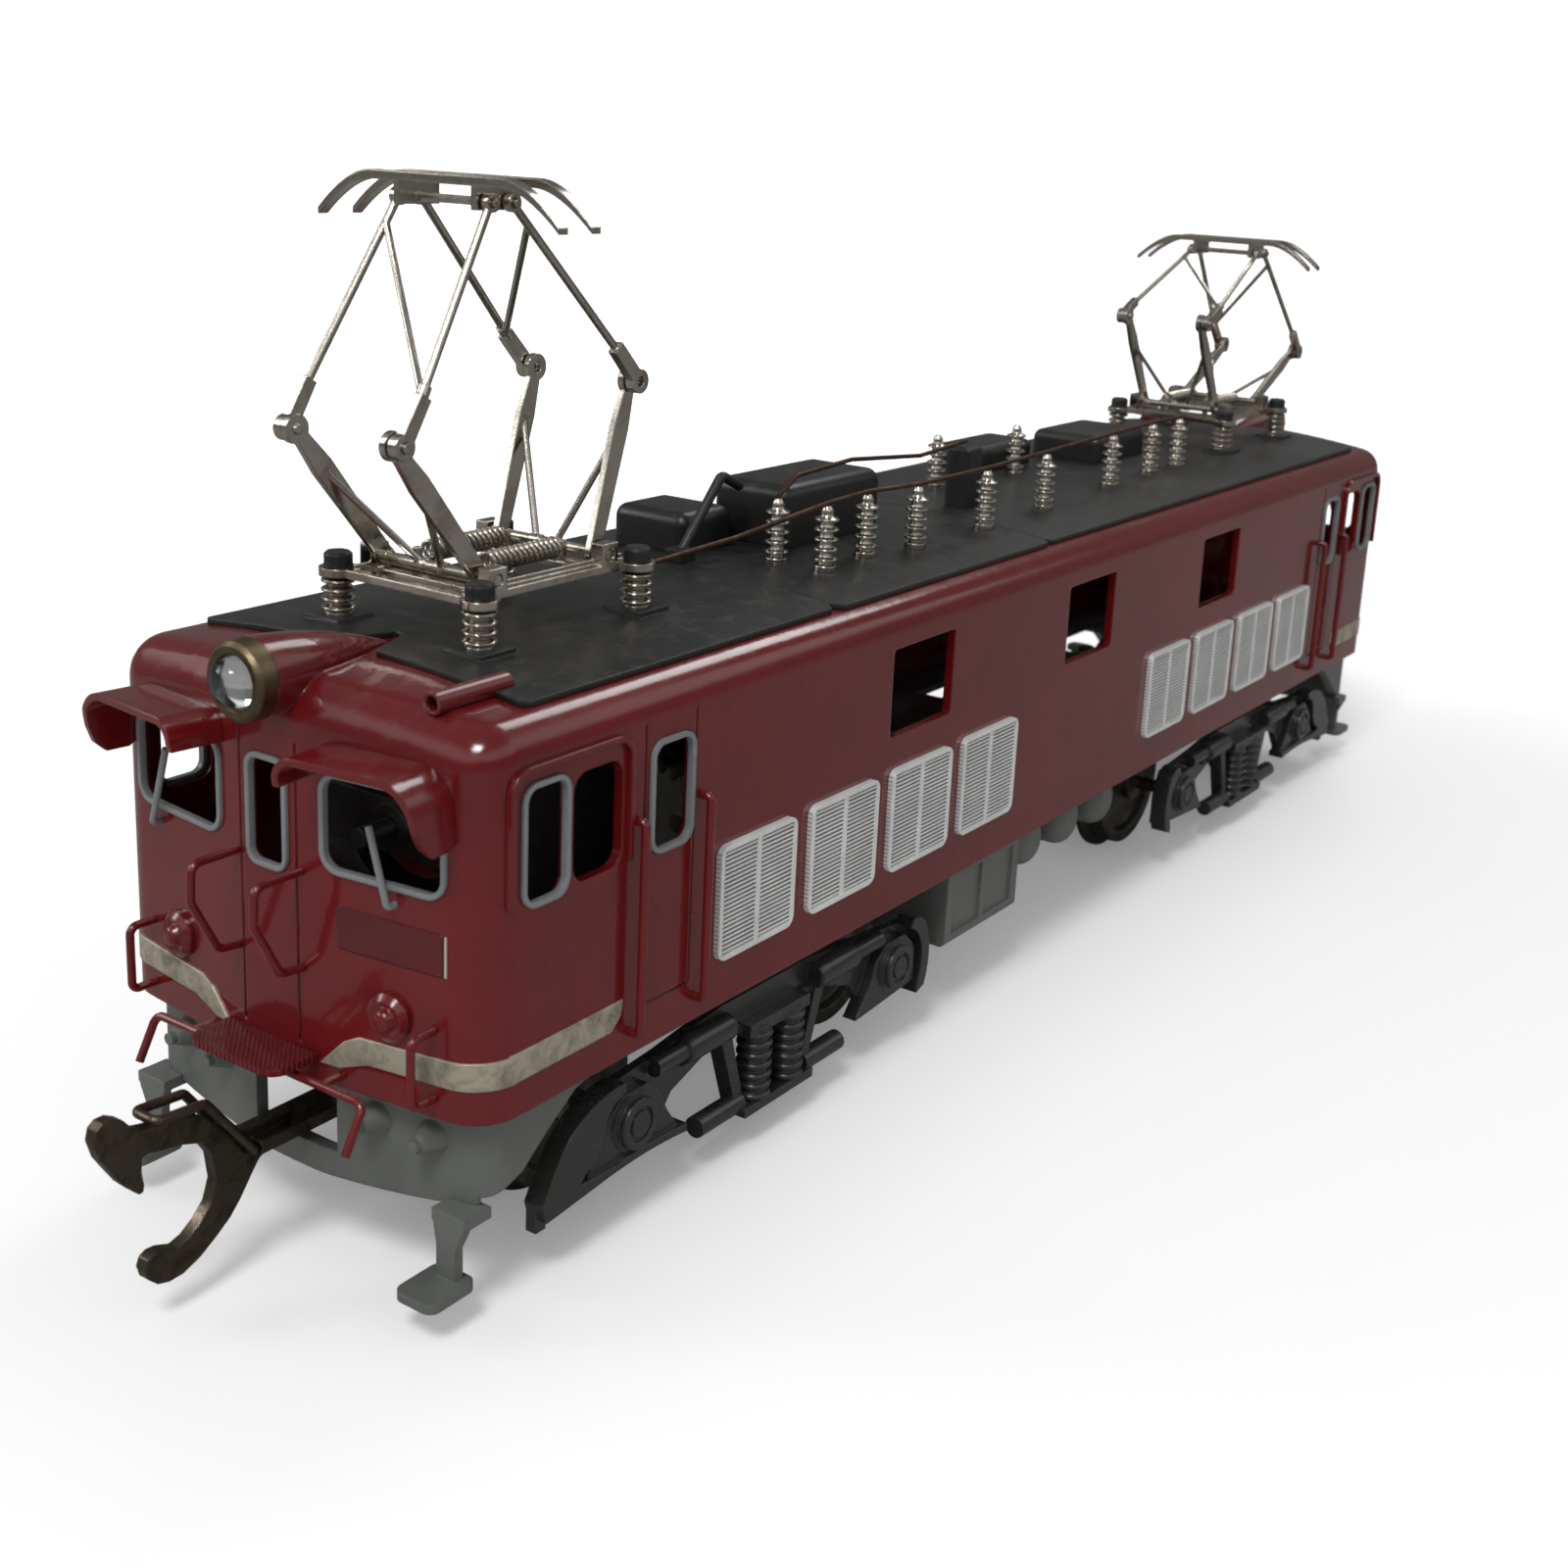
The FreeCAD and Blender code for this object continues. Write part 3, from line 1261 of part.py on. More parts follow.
def pantograph(end, centre):
    angle_a = math.radians(size(end + "_a_deg"))
    angle_b = math.radians(size(end + "_b_deg"))
    shaft_a, shaft_b = (centre - SHAFT_Y, PANTO_Z), (centre + SHAFT_Y, PANTO_Z)
    elbow_a = (shaft_a[0] - LOWER_LEN * math.cos(angle_a), PANTO_Z + LOWER_LEN * math.sin(angle_a))
    elbow_b = (shaft_b[0] + LOWER_LEN * math.cos(angle_b), PANTO_Z + LOWER_LEN * math.sin(angle_b))
    top = apex((elbow_a[0] + HEAD_HALF, elbow_a[1]), (elbow_b[0] - HEAD_HALF, elbow_b[1]),
               UPPER_LEN)
    head_a, head_b = (top[0] - HEAD_HALF, top[1]), (top[0] + HEAD_HALF, top[1])
    piece(end + "_pantograph_lower_a", lower_arm(shaft_a, elbow_a, True))
    piece(end + "_pantograph_lower_b", lower_arm(shaft_b, elbow_b, False))
    piece(end + "_pantograph_upper_a", upper_arm(elbow_a, head_a, 1))
    piece(end + "_pantograph_upper_b", upper_arm(elbow_b, head_b, -1))
    piece(end + "_pantograph_head", pantograph_head((head_a, head_b), top))


pantograph("front", -PANTO_Y)
pantograph("rear", PANTO_Y)

# ---------------------------------------------------------------- bogie frames
# all drawn for the front bogie; the rear one is mirrored
BOGIE_Y = -size("bogie_y")
HALF_BASE = size("wheelbase") / 2
AXLE_Z = size("axle_z")
MOTOR_Z = size("motor_z")
IDLER_Z = size("idler_z")
WORM_Z = size("worm_z")


def bogie_frame(powered):
    parts = [block(*span(side, 4.2, 5.2), BOGIE_Y - 22, BOGIE_Y + 22, 4.2, 12.7)
             for side in (-1, 1)]
    parts.append(block(-5.2, 5.2, BOGIE_Y - 22, BOGIE_Y - 21, 7.0, 12.7))
    parts.append(block(-5.2, 5.2, BOGIE_Y + 21, BOGIE_Y + 22, 7.0, 12.7))
    parts.append(block(-14.35, 14.35, BOGIE_Y - 3, BOGIE_Y + 3, 12.7, 13.4))
    parts += [block(*span(side, 13.4, 14.35), BOGIE_Y - 3, BOGIE_Y + 3, 9.0, 12.8)
              for side in (-1, 1)]
    if powered:
        # gear wall and the stub for the intermediate gear
        parts.append(block(-5.2, 5.2, BOGIE_Y + 6.3, BOGIE_Y + 7.3, 8.0, 29.4))
        parts.append(round_y(0.7, 3.0, 0, BOGIE_Y + 3.6, IDLER_Z))
    holes = [round_x(1.06, 20, -10, BOGIE_Y + end * HALF_BASE, AXLE_Z) for end in (-1, 1)]
    holes.append(round_z(1.46, 2, 0, BOGIE_Y, 12.2))
    if powered:
        holes.append(round_y(0.8, 50, 0, BOGIE_Y - 25, WORM_Z))
        holes.append(round_y(0.8, 3, 0, BOGIE_Y + 5.5, MOTOR_Z))
    made = joined(*parts)
    for hole in holes:
        made = made.cut(hole)
    return made


piece("front_bogie_frame", bogie_frame(True))
piece("rear_bogie_frame", flip_y(bogie_frame(False)))


# ---------------------------------------------------------------- bogie sides
def curve(points, steps=5):
    """Points along a smooth open run through the given (y, z) points."""
    spline = Part.BSplineCurve()
    spline.interpolate([Vec(0, y, z) for y, z in points])
    first, last = spline.FirstParameter, spline.LastParameter
    count = steps * (len(points) - 1)
    run = [spline.value(first + (last - first) * i / count) for i in range(count + 1)]
    return [(point.y, point.z) for point in run]


# (y, z) outlines; y of the beam is from the bogie centre, of the others from an axle
BEAM = [(-26.8, 3.7), (-25.8, 5.4), (-23.6, 7.6), (-21.5, 9.9), (-13.5, 10.5), (-10.5, 10.9),
        (-6.0, 11.4), (6.0, 11.4), (10.5, 10.9), (13.5, 10.5), (20.5, 9.9), (21.6, 8.0),
        (21.6, 4.2), (20.5, 4.0), (17.5, 3.9), (14.0, 4.3), (12.0, 6.8), (8.0, 8.2),
        (-8.0, 8.2), (-12.0, 6.8), (-14.0, 4.3), (-17.5, 4.2), (-21.0, 4.1), (-24.0, 3.9)]
# outer horn: down and outwards from the beam, then a lip back under the axle box
OUTER_HORN = (
    curve([(-1.5, 10.7), (-4.4, 10.4), (-7.2, 9.0), (-9.0, 6.7), (-10.1, 4.8)])
    + [(-9.7, 3.5)] + curve([(-4.2, 4.0), (0.1, 4.25), (5.75, 3.95)])
    + [(5.75, 4.6)] + curve([(0.1, 4.9), (-4.2, 4.7), (-6.3, 4.9)])
    + curve([(-5.6, 5.5), (-4.5, 6.2), (-3.5, 8.5), (-1.5, 9.9)]))
# short horn at the inner end
INNER_HORN = (
    curve([(2.4, 10.6), (3.5, 10.4), (5.0, 8.0), (5.1, 5.6), (4.6, 3.8)])
    + [(3.4, 3.4)] + curve([(3.5, 4.2), (3.95, 5.8), (3.9, 7.6), (2.9, 9.3), (1.9, 9.9)]))
# flanks of the bell-shaped axle boxes
BELL_FRONT = [(-5.75, 3.95), (-4.2, 5.8), (-3.5, 6.9), (-3.0, 8.0), (-2.2, 8.8), (-1.5, 9.4)]
BELL_REAR_OUTER = [(-y, z) for y, z in reversed(BELL_FRONT)]
BELL_REAR_INNER = [(1.5, 9.4), (2.2, 8.8), (3.0, 8.0), (3.3, 6.4), (3.6, 4.6)]
# cylinders of the brake gear: y from and to, radius
BRAKES = [(-11.5, -5.8, 1.1), (-14.9, -11.5, 0.75), (5.6, 11.2, 1.1), (11.2, 15.4, 0.75)]


def axle_box(y, rear_flank):
    """Bell, disc and ringed cap of one axle box."""
    bell = plate_yz(curve(BELL_FRONT, 3) + curve(rear_flank, 3), 14.9, 16.2, y)
    disc = round_x(2.25, 0.35, 16.0, y, AXLE_Z)
    groove = round_x(1.35, 0.35, 16.65, y, AXLE_Z).cut(round_x(0.95, 0.35, 16.65, y, AXLE_Z))
    cap = round_x(1.95, 0.7, 16.2, y, AXLE_Z).cut(groove)
    rim = [edge for edge in circles(cap)
           if abs(edge.Curve.Radius - 1.95) < 0.01 and edge.CenterOfMass.x > 16.5]
    return [bell, disc, cap.makeFillet(0.2, rim)]


def bogie_side():
    outer_y, inner_y = BOGIE_Y - HALF_BASE, BOGIE_Y + HALF_BASE
    gear_x = 15.7
    beam = prism("side_frame_beam", "YZ_Plane", [(BOGIE_Y + y, z) for y, z in BEAM], 14.4, 0.8)
    parts = [beam.Shape.copy(),
             plate_yz(OUTER_HORN, 14.9, 16.6, outer_y),
             plate_yz(INNER_HORN, 14.9, 16.6, inner_y)]
    parts += axle_box(outer_y, BELL_REAR_OUTER) + axle_box(inner_y, BELL_REAR_INNER)
    for start, end, radius in BRAKES:
        brake = round_y(radius, end - start, gear_x, BOGIE_Y + start, 10.0)
        parts.append(brake.makeFillet(0.3, circles(brake)) if radius > 1 else brake)
    parts.append(round_y(0.5, 22.0, 15.2, BOGIE_Y - 11.0, 8.9))
    # bolster springs between their seats, held by slanted links
    for offset in (-2.2, 2.2):
        y = BOGIE_Y + offset
        parts.append(round_z(1.1, 6.2, gear_x, y, 2.6))
        parts += [Part.makeTorus(1.15, 0.27, Vec(gear_x, y, 3.1 + i * 0.85)) for i in range(7)]
    parts.append(block(14.4, 16.8, BOGIE_Y - 4.6, BOGIE_Y + 4.6, 2.0, 2.75))
    parts.append(block(14.4, 16.6, BOGIE_Y - 4.0, BOGIE_Y + 4.0, 8.4, 9.4))
    for end in (-1, 1):
        link = [(end * 7.1, 9.6), (end * 5.9, 9.9), (end * 3.6, 2.3), (end * 4.6, 2.3)]
        parts.append(plate_yz(link, 14.6, 16.0, BOGIE_Y))
    parts.append(round_y(0.85, 5.4, gear_x, BOGIE_Y - 9.6, 3.0))
    parts.append(round_y(0.85, 5.4, gear_x, BOGIE_Y + 4.2, 3.0))
    # guard iron at the outer end
    parts.append(block(15.0, 15.9, outer_y - 10.0, outer_y - 9.0, 2.6, 4.6))
    return joined(*parts)


side_frame = bogie_side()
piece("front_bogie_sides", compound(sides(side_frame)))
piece("rear_bogie_sides", compound(sides(flip_y(side_frame))))


# ---------------------------------------------------------------- gears and wheelsets
def toothed(teeth, module, width, phase=0.0):
    """Gear on Z with straight-sided teeth, the first one towards +X at zero phase."""
    tip, root = module * (teeth / 2 + 0.8), module * (teeth / 2 - 1.15)
    pitch = 2 * math.pi / teeth
    points = []
    for i in range(teeth):
        for share, radius in ((-0.31, root), (-0.11, tip), (0.11, tip), (0.31, root)):
            angle = i * pitch + phase + share * pitch
            points.append(Vec(radius * math.cos(angle), radius * math.sin(angle), 0))
    return polygon_face(points).extrude(Vec(0, 0, width))


def spur(teeth, z, phase=0.0):
    """Drive gear on a Y axis at height z, in the plane all three share."""
    gear = toothed(teeth, size("gear_module"), 2.0, phase)
    # local x to +Z, local z to +Y
    gear.Placement = Place(Vec(0, BOGIE_Y + 3.9, z), Rot(Z_AXIS, X_AXIS, Y_AXIS, "ZXY"))
    return gear


def wheelset(y, driven):
    """Axle with both wheels; a driven one carries a worm wheel."""
    flange, tread = linked("flange_rad"), linked("tread_rad")
    axle, back = linked("axle_rad"), linked("gauge_back")
    face, journal = back + linked("wheel_wid"), linked("axle_rad") - 0.3
    hub, hub_end, axle_end = 2.0, 10.6, 14.1
    # one half, from the middle outwards, as (radius, distance from the middle)
    half = [(axle, back - 0.6), (hub, back - 0.6), (2.2, back), (flange, back),
            (flange, back + 0.5), (tread + 0.1, back + 0.9), (tread, face), (tread - 1.2, face),
            (tread - 1.6, face - 0.7), (hub, face - 0.3), (hub, hub_end), (journal, hub_end),
            (journal, axle_end), (0.0, axle_end)]
    points = [(radius, -distance) for radius, distance in reversed(half)] + half
    made = turned("axle_and_wheels", points).Shape.copy()
    made.Placement = Place(Vec(0, y, AXLE_Z), Rot(Y_AXIS, 90))
    if driven:
        worm_wheel = toothed(14, 0.31, 3.2)
        worm_wheel.Placement = Place(Vec(-1.6, y, AXLE_Z), Rot(Y_AXIS, 90))
        made = joined(made, worm_wheel)
    return made


AXLES = [(BOGIE_Y - HALF_BASE, True), (BOGIE_Y + HALF_BASE, True),
         (-BOGIE_Y - HALF_BASE, False), (-BOGIE_Y + HALF_BASE, False)]
for i, (y, driven) in enumerate(AXLES, 1):
    piece("wheelset_%d" % i, wheelset(y, driven))

# ---------------------------------------------------------------- motor and drive
MOTOR_FRONT = BOGIE_Y - 25.0
MOTOR_REAR = BOGIE_Y - 6.5


def motor_frame():
    front, rear, z = MOTOR_FRONT, MOTOR_REAR, MOTOR_Z
    magnet = block(-7.6, 7.6, front + 1, rear - 1, z - 7.4, z + 7.6)
    magnet = magnet.cut(round_y(5.7, 30, 0, front - 5, z))
    magnet = magnet.cut(block(-4.2, 4.2, front, rear, z + 4.9, z + 6.2))
    magnet = magnet.cut(block(-8, 8, front + 0.5, front + 3.4, z + 3.4, z + 9))
    magnet = magnet.cut(block(-8, 8, rear - 3.4, rear - 0.5, z + 3.4, z + 9))
    parts = [magnet]
    # end plates with their bearings, then the two legs down to the bogie
    for y in (front, rear - 1.0):
        parts.append(block(-7.0, 7.0, y, y + 1.0, z - 2.0, z + 2.0))
        parts.append(round_y(1.7, 1.6, 0, y - 0.3, z))
    for side in (-1, 1):
        parts.append(block(*span(side, 4.2, 5.2), front + 4.0, rear - 1.2, 12.7, z - 7.3))
    return joined(*parts).cut(round_y(0.8, 40, 0, front - 5, z))


def slotted(shape, half_wid, y0, y1, depth_rad):
    """Cut three even radial slots, down to a radius from the motor shaft."""
    for angle in (0, 120, 240):
        slot = block(-half_wid, half_wid, y0, y1, depth_rad, 7.0)
        slot.Placement = Place(Vec(0, 0, MOTOR_Z), Rot(Y_AXIS, angle))
        shape = shape.cut(slot)
    return shape


def motor_armature():
    front = MOTOR_FRONT
    core = slotted(round_y(5.3, 7.6, 0, front + 5.6, MOTOR_Z), 0.55, front + 4.6, front + 14.2, 2.6)
    shaft = round_y(0.75, 36.2, 0, front - 3.2, MOTOR_Z)
    commutator = round_y(1.9, 1.5, 0, MOTOR_REAR - 3.3, MOTOR_Z)
    return joined(shaft, core, commutator, spur(12, MOTOR_Z))


def motor_coil(y0, y1):
    coil = round_y(4.7, y1 - y0, 0, y0, MOTOR_Z)
    coil = coil.cut(round_y(0.76, y1 - y0 + 1, 0, y0 - 0.5, MOTOR_Z))
    coil = coil.makeFillet(0.55, [edge for edge in circles(coil) if edge.Curve.Radius > 4])
    return slotted(coil, 0.35, y0 - 1, y1 + 1, 1.7)


def intermediate_gear():
    y = BOGIE_Y + 2
    # turned by half a tooth, so that its gaps take the teeth of the other gears
    gear = spur(28, IDLER_Z, math.pi / 28).cut(round_y(0.76, 6, 0, y, IDLER_Z))
    for i in range(5):
        angle = 2 * math.pi * i / 5
        gear = gear.cut(round_y(0.9, 6, 3.1 * math.sin(angle), y, IDLER_Z + 3.1 * math.cos(angle)))
    return gear


def worm(centre):
    """Ridged roller in place of a true thread."""
    start, root, crest = centre - 2.8, 1.1, 1.6
    points = [(start, 0)]
    for i in range(7):
        y = start + i * 0.8
        points += [(y, root), (y + 0.22, crest), (y + 0.5, crest), (y + 0.72, root)]
    points.append((start + 5.52, 0))
    made = polygon_face([Vec(0, y, z) for y, z in points]).revolve(ORIGIN, Y_AXIS, 360)
    made.translate(Vec(0, 0, WORM_Z))
    return made


piece("motor_frame", motor_frame())
piece("motor_armature", motor_armature())
piece("motor_coils", compound([motor_coil(MOTOR_FRONT + 2.4, MOTOR_FRONT + 5.58),
                               motor_coil(MOTOR_FRONT + 13.22, MOTOR_FRONT + 14.7)]))
piece("intermediate_gear", intermediate_gear())
piece("worm_shaft", joined(round_y(0.74, 43.4, 0, BOGIE_Y - 21.7, WORM_Z), spur(12, WORM_Z),
                           worm(BOGIE_Y - HALF_BASE), worm(BOGIE_Y + HALF_BASE)))

# ---------------------------------------------------------------- pivot screws
COUPLER_Y = size("coupler_y")
COUPLER_Z = size("coupler_z")


def bogie_screw(y):
    corners = [math.radians(60 * i) for i in range(6)]
    nut = polygon_face([Vec(2.1 * math.cos(angle), y + 2.1 * math.sin(angle), 14.32)
                        for angle in corners]).extrude(Z_AXIS)
    return joined(round_z(2.2, 0.5, 0, y, 12.12), round_z(1.4, 2.2, 0, y, 12.5), nut,
                  round_z(1.0, 1.5, 0, y, 14.3))


def coupler_screw(y):
    """Screw with its head below the coupler eye and a spacer above it."""
    return joined(round_z(1.0, BODY_LOW - COUPLER_Z + 0.06, 0, y, COUPLER_Z - 0.06),
                  round_z(1.75, 0.5, 0, y, COUPLER_Z - 0.55),
                  round_z(1.75, BODY_LOW - COUPLER_Z - 0.95, 0, y, COUPLER_Z + 0.95))


screws = []
for end in (-1, 1):
    screws += [bogie_screw(end * size("bogie_y")), coupler_screw(end * COUPLER_Y)]
piece("pivot_screws", compound(screws))

# ---------------------------------------------------------------- couplers
# (y, z) outline of the upright hook plate
HOOK = [(-98.0, 13.7), (-97.8, 14.5), (-97.3, 14.85), (-96.6, 14.85), (-95.85, 14.45),
        (-95.35, 13.85), (-94.9, 13.4), (-94.4, 13.25), (-91.9, 12.8), (-90.8, 12.6),
        (-89.7, 12.1), (-88.3, 10.9), (-86.9, 10.0), (-84.6, 9.5), (-84.6, 7.6), (-85.3, 7.3),
        (-86.0, 6.4), (-87.0, 5.0), (-87.9, 4.0), (-89.2, 3.05), (-90.4, 2.3), (-91.8, 1.75),
        (-92.9, 1.7), (-93.8, 1.95), (-94.5, 2.6), (-94.75, 3.4), (-94.5, 4.0), (-94.0, 4.25),
        (-93.3, 4.2), (-92.2, 3.8), (-91.3, 4.05), (-90.3, 4.75), (-89.4, 5.7), (-88.9, 7.2),
        (-89.2, 9.2), (-90.0, 10.4), (-91.6, 10.95), (-93.1, 11.2), (-94.1, 11.4),
        (-94.6, 11.3), (-94.65, 10.3), (-94.5, 9.3), (-94.6, 8.95), (-94.9, 8.9),
        (-95.3, 9.25), (-96.1, 10.1), (-96.9, 11.3), (-97.6, 12.4)]
BAIL_Y = -86.3
BAIL_Z = 8.55
BAIL_X = 1.05


def front_coupler():
    hook = prism("coupler_plate", "YZ_Plane", HOOK, 0, linked("coupler_thk"), both=True)
    made = joined(hook.Shape.copy(),
                  block(-1.5, 1.5, -86.0, -COUPLER_Y, COUPLER_Z, COUPLER_Z + 0.9),
                  round_z(2.0, 0.9, 0, -COUPLER_Y, COUPLER_Z),
                  block(-0.45, 0.45, -86.5, -82.5, 8.0, 9.8))
    made = made.cut(round_z(1.05, 5, 0, -COUPLER_Y, COUPLER_Z - 1))
    return made.cut(round_x(0.42, 4, -2, BAIL_Y, BAIL_Z))


def front_bail():
    arm = [(BAIL_Y, BAIL_Z), (-90.1, 13.45), (-93.9, 13.75)]
    loop = bent_rod([(BAIL_X, y, z) for y, z in arm] + [(-BAIL_X, y, z) for y, z in arm[::-1]],
                    0.33, 0.5)
    return joined(loop, round_x(0.36, 2 * BAIL_X, -BAIL_X, BAIL_Y, BAIL_Z),
                  *[Part.makeSphere(0.36, Vec(x, BAIL_Y, BAIL_Z)) for x in (BAIL_X, -BAIL_X)])


coupler = front_coupler()
piece("front_coupler", coupler)
piece("rear_coupler", flip_y(coupler))
bail = front_bail()
piece("front_coupler_bail", bail)
piece("rear_coupler_bail", flip_y(bail))

# ---------------------------------------------------------------- checks and export
doc.recompute()
faults = []
for obj in doc.Objects:
    state = " ".join(obj.State)
    if "Invalid" in state or "Error" in state:
        faults.append((obj.Name, state))
for obj in NODES:
    shape = obj.Shape
    if shape.isNull() or not shape.isValid() or not shape.Solids:
        faults.append((obj.Label, "shape"))
    elif min(solid.Volume for solid in shape.Solids) <= 0:
        faults.append((obj.Label, "volume"))
if len({obj.Label for obj in NODES}) != len(NODES):
    faults.append(("NODES", "repeated label"))
if faults:
    raise SystemExit("the model has faults: %s" % faults)
os.makedirs("parts", exist_ok=True)
for obj in NODES:
    obj.Shape.exportStep("parts/" + obj.Label + ".step")
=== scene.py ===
# Model railway locomotive, in metres: it lies along Y with its front end at -Y, +Z is up.
# Its CAD pieces get procedural finishes, both ends get blank number panels, and a pale
# sweep, three lights and a camera are set up around it.
import bpy
import bmesh
import json
import math
import random
from functools import cached_property
from mathutils import Vector, Matrix


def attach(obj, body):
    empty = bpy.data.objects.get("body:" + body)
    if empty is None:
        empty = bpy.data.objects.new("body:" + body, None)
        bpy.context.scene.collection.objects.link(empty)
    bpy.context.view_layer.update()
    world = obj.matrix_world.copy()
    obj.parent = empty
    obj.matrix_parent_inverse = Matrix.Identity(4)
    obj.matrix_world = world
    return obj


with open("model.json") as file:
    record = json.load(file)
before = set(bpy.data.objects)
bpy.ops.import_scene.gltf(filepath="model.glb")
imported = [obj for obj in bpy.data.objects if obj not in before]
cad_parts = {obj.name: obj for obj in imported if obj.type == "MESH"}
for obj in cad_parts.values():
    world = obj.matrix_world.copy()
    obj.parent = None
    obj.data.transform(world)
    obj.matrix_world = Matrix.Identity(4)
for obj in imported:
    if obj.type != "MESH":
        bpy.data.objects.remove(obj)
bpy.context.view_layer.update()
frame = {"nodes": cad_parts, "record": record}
scene = bpy.context.scene
random.seed(7)        # fixes the random sequence for the whole run
MM = 0.001


# ---------------------------------------------------------------- node helpers
class Graph:
    """Short-hand for adding and wiring the nodes of one tree."""

    def __init__(self, tree):
        self.tree = tree

    def add(self, kind, **settings):
        node = self.tree.nodes.new(kind)
        for key, value in settings.items():
            setattr(node, key, value)
        return node

    def put(self, socket, value):
        """Links a socket, or sets a plain value; RGB colours get an alpha of 1."""
        if isinstance(value, bpy.types.NodeSocket):
            self.tree.links.new(value, socket)
        elif isinstance(value, tuple) and socket.type == "RGBA":
            socket.default_value = (*value, 1.0)
        else:
            socket.default_value = value

    def math(self, operation, a, b=0.0):
        node = self.add("ShaderNodeMath", operation=operation)
        self.put(node.inputs[0], a)
        self.put(node.inputs[1], b)
        return node.outputs[0]

    def times(self, a, b):
        return self.math("MULTIPLY", a, b)

    def plus(self, a, b):
        return self.math("ADD", a, b)

    def weighted(self, a, b, shares):
        return self.plus(self.times(a, shares[0]), self.times(b, shares[1]))

    def split(self, vector):
        node = self.add("ShaderNodeSeparateXYZ")
        self.put(node.inputs[0], vector)
        return node.outputs

    def remap(self, value, span, to=(0.0, 1.0)):
        """Maps span onto to, clamped."""
        node = self.add("ShaderNodeMapRange")
        for socket, item in zip(node.inputs, (value, *span, *to)):
            self.put(socket, item)
        return node.outputs[0]


class Shader(Graph):
    """A new Principled material, or a copy of source to build on."""

    def __init__(self, name, source=None):
        if source:
            self.material = source.copy()
            self.material.name = name
            super().__init__(self.material.node_tree)
            self.bsdf = next(n for n in self.tree.nodes if n.type == "BSDF_PRINCIPLED")
            self.normal = self.feeding("Normal")
        else:
            self.material = bpy.data.materials.new(name)
            self.material.use_nodes = True
            super().__init__(self.material.node_tree)
            self.tree.nodes.clear()
            output = self.add("ShaderNodeOutputMaterial")
            self.bsdf = self.add("ShaderNodeBsdfPrincipled")
            self.put(output.inputs[0], self.bsdf.outputs[0])
            self.normal = None        # what bump() builds on
        self.coords = self.add("ShaderNodeTexCoord").outputs["Object"]

    @cached_property
    def geometry(self):
        return self.add("ShaderNodeNewGeometry").outputs

    def feeding(self, name):
        """The socket linked into one of the surface's inputs."""
        return self.bsdf.inputs[name].links[0].from_socket

    def surface(self, values):
        for name, value in values.items():
            self.put(self.bsdf.inputs[name], value)

    def noise(self, scale, detail=3.0, rough=0.55, distortion=0.0, stretch=None):
        node = self.add("ShaderNodeTexNoise")
        coords = self.coords
        if stretch:
            mapping = self.add("ShaderNodeMapping")
            self.put(mapping.inputs["Vector"], coords)
            mapping.inputs["Scale"].default_value = stretch
            coords = mapping.outputs[0]
        self.put(node.inputs["Vector"], coords)
        self.put(node.inputs["Scale"], scale)
        self.put(node.inputs["Detail"], detail)
        self.put(node.inputs["Roughness"], rough)
        self.put(node.inputs["Distortion"], distortion)
        return node.outputs[0]

    def mix(self, factor, a, b, amount=None, mode="MIX"):
        """Colour a where factor is 0, b where it is 1; amount scales the factor."""
        if amount is not None:
            factor = self.times(factor, amount)
        node = self.add("ShaderNodeMix", data_type="RGBA", blend_type=mode)
        self.put(node.inputs[0], factor)
        self.put(node.inputs[6], a)
        self.put(node.inputs[7], b)
        return node.outputs[2]

    def bump(self, height, strength, distance):
        node = self.add("ShaderNodeBump")
        self.put(node.inputs["Strength"], strength)
        self.put(node.inputs["Distance"], distance)
        self.put(node.inputs["Height"], height)
        if self.normal is not None:
            self.put(node.inputs["Normal"], self.normal)
        return node.outputs[0]

    def edges(self, radius, bend):
        """0 on flats, 1 on edges, from how far a bevelled normal bends away.
        Later bumps build on the bevelled normal."""
        bevel = self.add("ShaderNodeBevel", samples=4)
        self.put(bevel.inputs["Radius"], radius)
        self.normal = bevel.outputs[0]
        dot = self.add("ShaderNodeVectorMath", operation="DOT_PRODUCT")
        self.put(dot.inputs[0], self.normal)
        self.put(dot.inputs[1], self.geometry["True Normal"])
        return self.remap(dot.outputs["Value"], span=(1.0 - bend[0], 1.0 - bend[1]))

    def dust(self, slope, scale, rough, span, amount):
        """Patches of dust on faces that look up."""
        facing = self.remap(self.split(self.geometry["Normal"])[2], span=(slope, 1.0))
        patches = self.remap(self.noise(scale=scale, detail=6.0, rough=rough), span=span)
        return self.times(self.times(facing, patches), amount)


def shade(color, gain, add=0.0):
    """A colour scaled and lifted, kept at or below 1."""
    return tuple(min(1.0, channel * gain + add) for channel in color)


